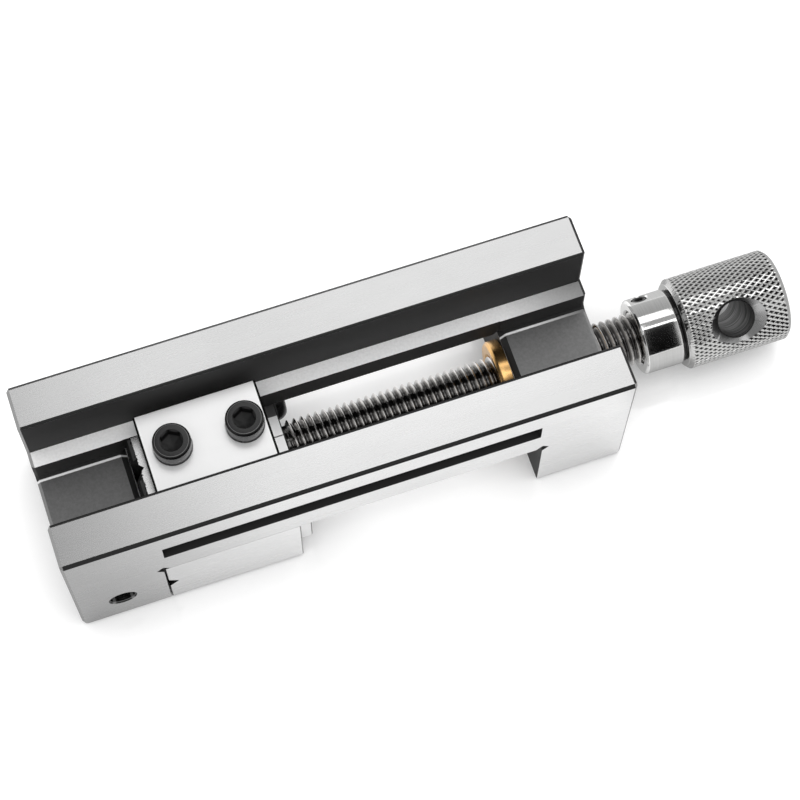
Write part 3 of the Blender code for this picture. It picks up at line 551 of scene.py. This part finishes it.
def knob_material(finishes, sizes):
    """Turned and diamond-knurled steel, plated bright.

    It gives the eye crisp reflections in clean bands, and a bright lattice over pits that
    are painted darker with depth as shade; the groove before the head is painted near-black
    as shade. The cross hole is drilled, and its bore is painted dark as shade, with rings
    about its own axis; its countersinks are dull.
    """
    material, tree = new_material("turned_knurled_steel")
    place = add_node(tree, "ShaderNodeTexCoord")
    x = add_node(tree, "ShaderNodeSeparateXYZ", [place["Object"]])[0]
    rings = grain(tree, place["Object"], (1.0, 80.0, 80.0), 0.22 * MM, 2.0)

    # The countersinks are cones: on them, height along the hole less radius is the same.
    from_middle = add_node(tree, "ShaderNodeVectorMath", [place["Object"], KNOB_MIDDLE],
                           operation="SUBTRACT")[0]
    upright = add_node(tree, "ShaderNodeVectorRotate", {
        "Vector": from_middle, "Angle": -CROSS_HOLE_TILT}, rotation_type="X_AXIS")[0]
    off_hole = distance_from_axis(tree, upright, (0.0, 0.0, 0.0), (0.0, 0.0, 1.0))
    drilled = band(tree, off_hole, -FAR, CROSS_HOLE_RADIUS + 0.05 * MM)
    up_hole = add_node(tree, "ShaderNodeMath", [
        add_node(tree, "ShaderNodeSeparateXYZ", [upright])[2]], operation="ABSOLUTE")[0]
    inward = add_node(tree, "ShaderNodeMath", [up_hole, off_hole], operation="SUBTRACT")[0]
    cone = CROSS_HOLE_MOUTH - CROSS_HOLE_RADIUS
    sunk = all_of(tree, band(tree, off_hole, -FAR, 9 * MM, 0.05 * MM),
                  band(tree, inward, cone - 0.12 * MM, cone + 0.12 * MM, 0.03 * MM))

    # How far a point lies below the blank that the knurl was rolled into.
    radius = distance_from_axis(tree, place["Object"], (0.0, 0.0, AXIS_Z), (1.0, 0.0, 0.0))
    from_ends = [add_node(tree, "ShaderNodeMath", pair, operation="SUBTRACT")[0]
                 for pair in ((x, KNOB_HEAD_X), (KNOB_HIGH.x, x))]
    from_end = add_node(tree, "ShaderNodeMath", from_ends, operation="MINIMUM")[0]
    slope = add_node(tree, "ShaderNodeMath", [from_end, KNOB_RADIUS - KNOB_RIM],
                     operation="ADD")[0]
    blank = add_node(tree, "ShaderNodeMath", [slope, KNOB_RADIUS], operation="MINIMUM")[0]
    below = add_node(tree, "ShaderNodeMath", [blank, radius], operation="SUBTRACT")[0]

    marks = grain(tree, upright, (30.0, 30.0, 1.0), 0.5 * MM, 2.0)
    ring_tone, mark_tone, pit = (add_node(tree, "ShaderNodeMapRange", ends)[0] for ends in (
        (rings, *NOISE, 0.94, 1.04), (marks, *SPECKS, 0.08, 0.3),
        (below, 0.2 * sizes.knurl_depth, 0.6 * sizes.knurl_depth, 1.0, 0.03)))
    head_start = KNOB_HEAD_X + 0.1 * MM
    knurled = band(tree, x, head_start, FAR)
    # The groove before the head is painted near-black: painted shade.
    groove = all_of(tree, band(tree, x, KNOB_HEAD_X - 1 * MM, head_start),
                    band(tree, radius, -FAR, 9.9 * MM, 0.1 * MM))
    ends = add_node(tree, "ShaderNodeSeparateXYZ", [place["Normal"]])[0]
    end_face = band(tree, ends, 0.9, 2.0, 0.02)
    plain = any_of(tree, end_face, sunk)
    # The knurl's pits are painted darker the deeper they lie: painted shade.
    pits = layered(tree, "FLOAT", pit, (plain, 1.0))
    rim = all_of(tree, knurled, band(tree, from_end, -FAR, KNOB_RIM, 0.1 * MM))
    rim_tone = layered(tree, "FLOAT", 0.6, (end_face, 1.0))
    shade = toned(tree, finishes.knob_steel, ring_tone,
                  layered(tree, "FLOAT", 1.0, (knurled, pits), (groove, 0.05)),
                  layered(tree, "FLOAT", 1.0, (rim, rim_tone)))
    relief = add_node(tree, "ShaderNodeBump", {
        "Height": rings, "Strength": 0.12, "Distance": 0.02 * MM})
    # Painted shade: the cross hole's bore is painted dark, in rings from the drill.
    dress(tree, {
        "Base Color": layered(tree, "RGBA", shade, (sunk, linear("#a6a6a6")),
                              (drilled, toned(tree, WHITE, mark_tone))),
        "Metallic": 1.0,
        "Roughness": layered(tree, "FLOAT", 0.1, (sunk, 0.25), (drilled, 0.4)),
        "Normal": relief[0],
    })
    return material


def around(radius, height, columns, closed=True):
    """Points of a turned surface, rows by columns, drawn about +Z.

    Each row is a circle of that row's radius (or of one radius for each point of the row)
    at that row's height. An open surface repeats its first column at the end.
    """
    angle = np.linspace(0, 2 * np.pi, columns + (not closed), endpoint=not closed)
    radius, height = (side[:, None] if side.ndim == 1 else side
                      for side in (np.asarray(radius, float), np.asarray(height, float)))
    return np.stack(np.broadcast_arrays(
        radius * np.cos(angle), radius * np.sin(angle), height), axis=-1)


def mesh_from_grid(name, points, closed=True, ring=False):
    """A mesh whose quads join neighbouring points of a grid of rows and columns.

    Closed joins the last column to the first, and ring joins the last row to the first.
    Points that fall together, as at a pole, are merged, and the flat faces so lost go.
    """
    rows, columns = points.shape[:2]
    number = np.arange(rows * columns).reshape(rows, columns)
    if closed:
        number = np.concatenate([number, number[:, :1]], axis=1)
    if ring:
        number = np.concatenate([number, number[:1]], axis=0)
    faces = np.stack([number[:-1, :-1], number[:-1, 1:], number[1:, 1:], number[1:, :-1]],
                     axis=-1).reshape(-1, 4)
    mesh = bpy.data.meshes.new(name)
    mesh.from_pydata(points.reshape(-1, 3).tolist(), [], faces.tolist())
    build = bmesh.new()
    build.from_mesh(mesh)
    bmesh.ops.remove_doubles(build, verts=build.verts, dist=1e-7)
    bmesh.ops.dissolve_degenerate(build, edges=build.edges, dist=1e-8)
    build.to_mesh(mesh)
    build.free()
    return mesh


def add_object(name, data):
    """Puts an object with its data into the scene."""
    thing = bpy.data.objects.new(name, data)
    bpy.context.scene.collection.objects.link(thing)
    return thing


def piece_from(name, mesh, body, nodes, material, sharp=math.radians(32)):
    """Puts a finished mesh into the scene as a piece that stands for some CAD nodes."""
    mesh.shade_smooth()
    mesh.set_sharp_from_angle(angle=sharp)
    mesh.materials.append(material)
    piece = add_object(name, mesh)
    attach(piece, body)
    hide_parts(*nodes)


def rounded(profile, radius, steps=3):
    """A profile of (radius, height) points with every inner corner rounded off.

    Each corner gives way to the quadratic curve from a point on one side of it, past it,
    to a point on the other. The two points stand off by the radius, or a third of the side
    where that is less.
    """
    profile = [np.array(point, float) for point in profile]
    result = [profile[0]]
    for before, corner, after in zip(profile, profile[1:], profile[2:]):
        start, end = (corner + way * min(radius / np.linalg.norm(way), 0.33)
                      for way in (before - corner, after - corner))
        for t in np.linspace(0, 1, steps + 1):
            result.append((1 - t) ** 2 * start + 2 * t * (1 - t) * corner + t ** 2 * end)
    result.append(profile[-1])
    return np.array(result)


def placed(points, turn, origin):
    """Points turned by a 3 by 3 matrix and moved to an origin."""
    return points @ np.array(turn).T + np.array(origin)


def socket_mouth(hex_size):
    """The radius at a hex socket's mouth: its corners' reach and 0.1 mm of chamfer."""
    return hex_size / 2 / math.cos(math.pi / 6) + 0.1 * MM


def socket_screw(outer, top, hex_size, hex_depth, columns=96):
    """Points of a screw drawn about +Z, from its tip up its outside and into its hex socket.

    The socket's mouth is a cone. Below it each row is a hexagon, whose rim stands off by half
    its size over the cosine of the angle from the nearest flat. The rows close to the point
    that a drill leaves under the broached hexagon.
    """
    angle = np.linspace(0, 2 * np.pi, columns, endpoint=False)
    from_flat = (angle + np.pi / 6) % (np.pi / 3) - np.pi / 6
    flats = hex_size / 2 / np.cos(from_flat)
    outside = rounded(outer + [(socket_mouth(hex_size), top)], 0.22 * MM)
    share, depth = np.array([
        (1.0, 0.35 * MM), (1.0, hex_depth * 0.5), (1.0, hex_depth),
        (0.92, hex_depth + 0.02 * MM), (0.5, hex_depth + 0.35 * MM),
        (0.0, hex_depth + 0.75 * MM)]).T
    radius = np.concatenate([outside[:, :1] * np.ones(columns), share[:, None] * flats])
    return around(radius, np.concatenate([outside[:, 1], top - depth]), columns)


class VISE_OT_ground_pieces(bpy.types.Operator):
    """Gives the body, the moving jaw and the small plates their ground steel"""

    bl_idname = "vise.ground_pieces"
    bl_label = "Ground pieces"

    def execute(self, context):
        finishes, sizes = context.scene.vise_finishes, context.scene.vise_sizes
        plates = plate_material(finishes, sizes)
        finish_of = {
            "body": body_material(finishes, sizes),
            "moving_jaw": jaw_material(finishes, sizes),
            "keeper_plate": plates,
            "retaining_plate_near": plates,
            "retaining_plate_far": plates,
        }
        for name, material in finish_of.items():
            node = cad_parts[name]
            node.data.materials.clear()
            node.data.materials.append(material)
        return {"FINISHED"}


class VISE_OT_lead_screw(bpy.types.Operator):
    """Builds the lead screw: a right-hand thread, a collar and a grooved journal"""

    bl_idname = "vise.lead_screw"
    bl_label = "Lead screw"

    def execute(self, context):
        sizes = context.scene.vise_sizes
        columns, samples = 64, 16
        pitch, depth = sizes.thread_pitch, sizes.thread_depth
        root = THREAD_RADIUS - depth
        root_flat, flank = 0.083, 0.354
        start, end = THREAD_START_X, SCREW_HIGH.x
        turns = math.ceil((end - start) / pitch) + 2

        def height(share):
            """The thread's section over one pitch: root, flank, narrow crest and flank."""
            away = np.abs(share % 1.0 - 0.5)
            return np.clip((0.5 - away - root_flat) / flank, 0.0, 1.0)

        # Each row follows the helix: x grows by one pitch as the angle goes once round.
        row = np.arange(turns * samples + 1) / samples
        smooth = np.mean([height(row + shift) for shift in np.linspace(-0.05, 0.05, 7)], axis=0)
        turned = np.linspace(0, 1, columns + 1)
        x = np.clip(start + pitch * (row[:, None] - 1 + turned), start, end)
        to_end = np.minimum(x - start, end - x)
        radius = root + depth * np.minimum(smooth[:, None], to_end / (0.5 * pitch))

        journal, groove, chamfer = 5.0 * MM, 3.8 * MM, 0.6 * MM
        tip, shoulder, collar = SCREW_LOW.x, SCREW_LOW.x + 9 * MM, start - 0.8 * MM
        stem = rounded([
            (0.0, tip), (journal - chamfer, tip), (journal, tip + chamfer), (journal, shoulder),
            (groove, shoulder), (groove, collar), (root, collar), (root, start)], 0.15 * MM)
        tail = np.array([(root, end), (0.0, end)])
        wide = np.ones(columns + 1)
        radius = np.concatenate([stem[:, :1] * wide, radius, tail[:, :1] * wide])
        along = np.concatenate([stem[:, 1:] * wide, x, tail[:, 1:] * wide])
        points = placed(around(radius, along, columns, closed=False), ALONG_X, (0, 0, AXIS_Z))
        mesh = mesh_from_grid("lead_screw_cut", points, closed=False)
        piece_from("lead_screw_cut", mesh, "screw", ["lead_screw"],
                   thread_material(context.scene.vise_finishes, sizes))
        return {"FINISHED"}


class VISE_OT_screw_nut(bpy.types.Operator):
    """Builds the flanged brass nut, turned with a chamfered flange"""

    bl_idname = "vise.screw_nut"
    bl_label = "Screw nut"

    def execute(self, context):
        face, seat, end = NUT_LOW.x, LUG_FACE_X - 0.3 * MM, NUT_HIGH.x
        bore, barrel, flange = 7.15 * MM, 8.5 * MM, NUT_HIGH.y
        chamfer, end_chamfer = 0.7 * MM, 0.4 * MM
        outline = rounded([
            (bore, end), (bore, face + chamfer), (bore + chamfer, face),
            (flange - chamfer, face), (flange, face + chamfer), (flange, seat),
            (barrel, seat), (barrel, end - end_chamfer), (barrel - end_chamfer, end),
            (bore, end)], 0.12 * MM)
        points = placed(around(outline[:-1, 0], outline[:-1, 1], 96), ALONG_X, (0, 0, AXIS_Z))
        piece_from("screw_nut_turned", mesh_from_grid("screw_nut_turned", points, ring=True),
                   "base", ["screw_nut"], brass_material(context.scene.vise_finishes))
        return {"FINISHED"}


class VISE_OT_knob(bpy.types.Operator):
    """Builds the knob: a turned neck and a diamond-knurled head with a cross hole"""

    bl_idname = "vise.knob"
    bl_label = "Knob"

    def execute(self, context):
        sizes = context.scene.vise_sizes
        mesh = self.turned_mesh(sizes)
        self.cut_holes(mesh)
        piece_from("knob_knurled", mesh, "screw", ["knob"],
                   knob_material(context.scene.vise_finishes, sizes), math.radians(28))
        return {"FINISHED"}

    def turned_mesh(self, sizes):
        """The knob's outline carried round its axis, with the knurl cut into the head.

        Two families of ridges cross on the head and leave pits between them. With u counting
        teeth round it and v counting rows along it, they run along whole values of u + v and
        u - v. The surface falls from the nearest ridge as the distance to the power of 1.2.
        """
        per_tooth = 8
        columns = sizes.knurl_teeth * per_tooth
        left, right, head = KNOB_LOW.x, KNOB_HIGH.x, KNOB_HEAD_X
        neck, outer, rim, plain_rim = KNOB_NECK_RADIUS, KNOB_RADIUS, KNOB_RIM, 0.5 * MM
        bore, bore_end, chamfer = 7.3 * MM, left + 16.3 * MM, 0.6 * MM
        groove, groove_start = neck - 1 * MM, head - 0.9 * MM
        before = rounded([
            (0.0, bore_end), (bore, bore_end), (bore, left + 0.5 * MM), (bore + 0.5 * MM, left),
            (neck - chamfer, left), (neck, left + chamfer), (neck, groove_start - 0.3 * MM),
            (neck - 0.3 * MM, groove_start), (groove, groove_start), (groove, head),
            (outer - rim, head), (outer - rim + plain_rim, head + plain_rim)], 0.12 * MM)
        after = rounded([(outer - rim + plain_rim, right - plain_rim), (outer - rim, right),
                         (0.0, right)], 0.12 * MM)
        rows = np.arange(sizes.knurl_rows * per_tooth + 1) / per_tooth
        u = np.arange(columns) / per_tooth
        v = rows[:, None]
        nearest = np.maximum(*(np.abs(way % 1.0 - 0.5) * 2 for way in (u + v, u - v)))
        fade = np.clip(np.minimum(v, sizes.knurl_rows - v) / 0.35, 0, 1)
        start, end = head + plain_rim, right - plain_rim
        along = start + (end - start) * rows / sizes.knurl_rows
        blank = np.minimum(outer, outer - rim + np.minimum(along - head, right - along))
        knurl = blank[:, None] - sizes.knurl_depth * (1 - nearest) ** 1.2 * fade
        wide = np.ones(columns)
        radius = np.concatenate([before[:, :1] * wide, knurl, after[:, :1] * wide])
        height = np.concatenate([before[:, 1], along, after[:, 1]])
        points = placed(around(radius, height, columns), ALONG_X, (0, 0, AXIS_Z))
        return mesh_from_grid("knob_knurled", points)

    def cut_holes(self, mesh):
        """Drills the countersunk cross hole and the set screw's hole."""
        reach, hole, mouth = 15.0 * MM, CROSS_HOLE_RADIUS, CROSS_HOLE_MOUTH
        waist = rounded([(0.0, -reach), (hole + reach - mouth, -reach), (hole, -mouth),
                         (hole, mouth), (hole + reach - mouth, reach), (0.0, reach)], 0.3 * MM)
        tilt = Matrix.Rotation(CROSS_HOLE_TILT, 3, "X")
        cross = placed(around(waist[:, 0], waist[:, 1], 128), tilt, KNOB_MIDDLE)
        radius, sink, bottom, top = 2.15 * MM, 0.6 * MM, 5.0 * MM, 12.0 * MM
        face = KNOB_NECK_RADIUS + 0.2 * MM
        bore = np.array([(0.0, bottom), (radius, bottom), (radius, face - sink),
                         (radius + sink, face), (radius + sink, top), (0.0, top)])
        small = placed(around(bore[:, 0], bore[:, 1], 48), SET_SCREW_TURN, SET_SCREW_PLACE)
        target = add_object("knob_blank", mesh)
        for name, points in (("cross_hole", cross), ("set_screw_hole", small)):
            step = target.modifiers.new(name, "BOOLEAN")
            step.operation = "DIFFERENCE"
            step.solver = "EXACT"
            step.object = add_object(name, mesh_from_grid(name, points))
        bpy.context.view_layer.update()
        drilled = bpy.data.meshes.new_from_object(
            target.evaluated_get(bpy.context.evaluated_depsgraph_get()))
        build = bmesh.new()
        build.from_mesh(drilled)
        build.to_mesh(mesh)
        build.free()
        for name in ("knob_blank", "cross_hole", "set_screw_hole"):
            bpy.data.objects.remove(bpy.data.objects[name], do_unlink=True)


class VISE_OT_socket_screws(bpy.types.Operator):
    """Builds the blackened cap, button and set screws with their hex sockets"""

    bl_idname = "vise.socket_screws"
    bl_label = "Socket screws"

    def execute(self, context):
        finishes = context.scene.vise_finishes
        shank, tip = 3.0 * MM, 0.5 * MM
        for node in ("keeper_screw_front", "keeper_screw_rear"):
            low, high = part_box(node)
            head, chamfer, seat = 4.9 * MM, 0.6 * MM, high.z - 6.0 * MM
            outline = [(0.0, low.z), (shank - tip, low.z), (shank, low.z + tip), (shank, seat),
                       (head, seat), (head, high.z - chamfer), (head - chamfer, high.z)]
            self.make(finishes, node, "jaw", outline, high.z, 5.0 * MM, 3.0 * MM, ALONG_Z,
                      ((low.x + high.x) / 2, 0.0, 0.0))
        for node in ("retaining_screw_near", "retaining_screw_far"):
            low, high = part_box(node)
            flat, head, rise = 2.8 * MM, 5.25 * MM, 3.3 * MM
            seat = high.x - rise
            dome = [(flat + (head - flat) * math.cos(a), seat + rise * math.sin(a))
                    for a in np.linspace(0, math.pi / 2, 9)]
            outline = [(0.0, low.x), (shank - tip, low.x), (shank, low.x + tip),
                       (shank, seat)] + dome
            self.make(finishes, node, "jaw", outline, high.x, 4.0 * MM, 2.0 * MM, ALONG_X,
                      (0.0, (low.y + high.y) / 2, AXIS_Z))
        radius, chamfer, bottom, top = 2.0 * MM, 0.3 * MM, 7.3 * MM, 10.0 * MM
        outline = [(0.0, bottom), (radius - chamfer, bottom), (radius, bottom + chamfer),
                   (radius, top - chamfer), (radius - chamfer, top)]
        self.make(finishes, "knob_set_screw", "screw", outline, top, 2.0 * MM, 1.5 * MM,
                  SET_SCREW_TURN, SET_SCREW_PLACE, 48)
        return {"FINISHED"}

    def make(self, finishes, node, body, outline, top, hex_size, hex_depth, turn, origin,
             columns=96):
        """Makes one screw from its outline, with a hex socket from its top down."""
        points = placed(socket_screw(outline, top, hex_size, hex_depth, columns), turn, origin)
        material = black_oxide_material(node, finishes, turn.col[2], origin,
                                        socket_mouth(hex_size))
        piece_from(node + "_cut", mesh_from_grid(node + "_cut", points), body,
                   [node], material)


class VISE_OT_stage(bpy.types.Operator):
    """Sets up the pale floor, the lamps, the black card, the room and the camera"""

    bl_idname = "vise.stage"
    bl_label = "Stage"

    def execute(self, context):
        stage = context.scene.vise_stage
        self.make_floor(stage)
        self.make_lamps(stage)
        self.make_black_card()
        self.make_room()
        self.make_camera(stage)
        context.scene.view_settings.view_transform = "Standard"
        return {"FINISHED"}

    def seen_mask(self, tree, path):
        """1 for what the camera, metal and glass see, and 0 for light on matt surfaces."""
        return any_of(tree, *(path[f"Is {way} Ray"] for way in ("Camera", "Glossy",
                                                                "Transmission")))

    def make_floor(self, stage):
        """A wide sheet of white paper, a little glossy, just under the vise.

        What the metal mirrors of the paper is dimmer beyond both ends of the vise. Where the
        vise comes close, ambient occlusion takes the paper's glow away as it does its light.
        """
        half, drop = 4.0, 0.2 * MM
        mesh = bpy.data.meshes.new("floor")
        corners = [(-half, -half, -drop), (half, -half, -drop), (half, half, -drop),
                   (-half, half, -drop)]
        mesh.from_pydata(corners, [], [(0, 1, 2, 3)])
        floor = add_object("floor", mesh)
        material, tree = new_material("white_paper_sweep")
        tree.nodes.clear()
        path = add_node(tree, "ShaderNodeLightPath")
        place = add_node(tree, "ShaderNodeTexCoord")
        x = add_node(tree, "ShaderNodeSeparateXYZ", [place["Object"]])[0]
        rise, fall = (
            add_node(tree, "ShaderNodeMapRange", ends, interpolation_type="SMOOTHSTEP")[0]
            for ends in ((x, -0.115, -0.03, 0.56, 1.0), (x, 0.054, 0.066, 1.0, 0.5)))
        share = layered(tree, "FLOAT", 1.0, (path["Is Glossy Ray"], all_of(tree, rise, fall)))
        paper = add_node(tree, "ShaderNodeBsdfDiffuse", [toned(tree, linear("#dedede"), share)])
        shine = add_node(tree, "ShaderNodeBsdfGlossy", {"Color": WHITE, "Roughness": 0.06})
        coated = add_node(tree, "ShaderNodeMixShader", [0.05, paper[0], shine[0]])
        contact = add_node(tree, "ShaderNodeAmbientOcclusion", {"Distance": 20 * MM}, samples=8)
        glow = add_node(tree, "ShaderNodeEmission", [WHITE, all_of(
            tree, self.seen_mask(tree, path), share, contact["AO"], stage.floor_glow)])
        total = add_node(tree, "ShaderNodeAddShader", [coated[0], glow[0]])
        add_node(tree, "ShaderNodeOutputMaterial", [total[0]])
        mesh.materials.append(material)

    def make_lamps(self, stage):
        """An overhead panel behind the vise, one over its thread and a strip over its knob."""
        height = 0.9
        for name, x_low, x_high, y_low, y_high, radiance in (
                ("panel_back", -0.09, 0.42, 0.22, 0.62, stage.panel_radiance),
                ("panel_front", -0.09, 0.155, -0.28, 0.12, stage.front_radiance),
                ("strip_front", 0.155, 0.42, -0.14, -0.02, stage.strip_radiance)):
            lamp = bpy.data.lights.new(name, "AREA")
            lamp.shape = "RECTANGLE"
            lamp.size, lamp.size_y = x_high - x_low, y_high - y_low
            lamp.energy = radiance * math.pi * lamp.size * lamp.size_y
            thing = add_object(name, lamp)
            thing.location = ((x_low + x_high) / 2, (y_low + y_high) / 2, height)
            thing.visible_camera = False

    def make_black_card(self):
        """A black card bent about the knob's axis, which only mirrors see.

        It is part of a tube: its angle from +Z towards -Y runs from its upper edge to its
        lower one, and its X from its left edge to its right one.
        """
        radius = 90 * MM
        angle = np.radians(np.linspace(7, 84, 24))[:, None]
        x = np.array([KNOB_LOW.x + 7 * MM, KNOB_LOW.x + 38 * MM])
        points = np.stack(np.broadcast_arrays(
            x, -radius * np.sin(angle), AXIS_Z + radius * np.cos(angle)), axis=-1)
        mesh = mesh_from_grid("black_card", points, closed=False)
        card = add_object("black_card", mesh)
        for way in ("camera", "diffuse", "transmission", "volume_scatter", "shadow"):
            setattr(card, "visible_" + way, False)
        material, tree = new_material("black_card")
        dress(tree, {"Base Color": linear("#0a0a0a"), "Specular IOR Level": 0.0})
        mesh.materials.append(material)

    def make_room(self):
        """A room with a white wall to the height of the horizon and a dimmer ceiling.

        The camera, metal and glass see the same room. Matt surfaces take an even light that
        grows with the square of the height.
        """
        world = bpy.data.worlds.new("studio")
        bpy.context.scene.world = world
        world.use_nodes = True
        tree = world.node_tree
        tree.nodes.clear()
        path = add_node(tree, "ShaderNodeLightPath")
        place = add_node(tree, "ShaderNodeTexCoord")
        x, y, z = add_node(tree, "ShaderNodeSeparateXYZ", [place["Generated"]])
        upright, rightward, forward = (
            add_node(tree, "ShaderNodeMapRange", ends)[0] for ends in (
                (z, 0.0, 0.8, 0.56, 0.38), (x, 0.3, 0.95, 0.0, 0.6),
                (y, -0.12, -0.35, 0.0, 0.3)))
        pale = add_node(tree, "ShaderNodeMath", [
            upright, any_of(tree, rightward, forward)], operation="ADD")
        room = layered(tree, "FLOAT", pale[0], (band(tree, z, -2.0, 0.04, 0.03), 1.0))
        height = add_node(tree, "ShaderNodeMath", [z, 2.0], operation="POWER")
        even = add_node(tree, "ShaderNodeMath", [height[0], 1.1, 0.45],
                        operation="MULTIPLY_ADD")
        strength = layered(tree, "FLOAT", even[0], (self.seen_mask(tree, path), room))
        sky = add_node(tree, "ShaderNodeBackground", {"Color": WHITE, "Strength": strength})
        add_node(tree, "ShaderNodeOutputWorld", [sky[0]])

    def make_camera(self, stage):
        """The camera at its place, turned by azimuth, elevation and roll."""
        a, e = stage.azimuth, stage.elevation
        back = Vector((math.sin(a) * math.cos(e), -math.cos(a) * math.cos(e), math.sin(e)))
        right = (-back).cross(Vector((0, 0, 1))).normalized()
        up = right.cross(-back)
        across = math.cos(stage.roll) * right + math.sin(stage.roll) * up
        upward = -math.sin(stage.roll) * right + math.cos(stage.roll) * up
        turn = Matrix((across, upward, back)).transposed().to_4x4()
        data = bpy.data.cameras.new("camera")
        data.sensor_width = 36.0
        data.lens = stage.focal_length
        data.clip_start, data.clip_end = 0.01, 50.0
        camera = add_object("camera", data)
        camera.matrix_world = Matrix.Translation(stage.place) @ turn
        bpy.context.scene.camera = camera


class VISE_PT_looks(bpy.types.Panel):
    """Sizes, colours and steps of the vise's looks"""

    bl_idname = "VISE_PT_looks"
    bl_label = "Toolmakers vise"
    bl_space_type = "VIEW_3D"
    bl_region_type = "UI"
    bl_category = "Vise"

    def draw(self, context):
        for name in GROUPS:
            group = getattr(context.scene, name)
            box = self.layout.box()
            for size in group.__annotations__:
                box.prop(group, size)
        for operator in STEPS:
            self.layout.operator(operator.bl_idname)


GROUPS = {"vise_sizes": ViseSizes, "vise_finishes": ViseFinishes, "vise_stage": ViseStage}
STEPS = (VISE_OT_ground_pieces, VISE_OT_lead_screw, VISE_OT_screw_nut, VISE_OT_knob,
         VISE_OT_socket_screws, VISE_OT_stage)


def register():
    for name, group in GROUPS.items():
        bpy.utils.register_class(group)
        setattr(bpy.types.Scene, name, PointerProperty(type=group))
    for operator in (*STEPS, VISE_PT_looks):
        bpy.utils.register_class(operator)


def unregister():
    for operator in (VISE_PT_looks, *reversed(STEPS)):
        bpy.utils.unregister_class(operator)
    for name, group in reversed(GROUPS.items()):
        delattr(bpy.types.Scene, name)
        bpy.utils.unregister_class(group)


def main():
    register()
    bpy.ops.vise.ground_pieces()
    bpy.ops.vise.lead_screw()
    bpy.ops.vise.screw_nut()
    bpy.ops.vise.knob()
    bpy.ops.vise.socket_screws()
    bpy.ops.vise.stage()


if __name__ == "__main__":
    main()
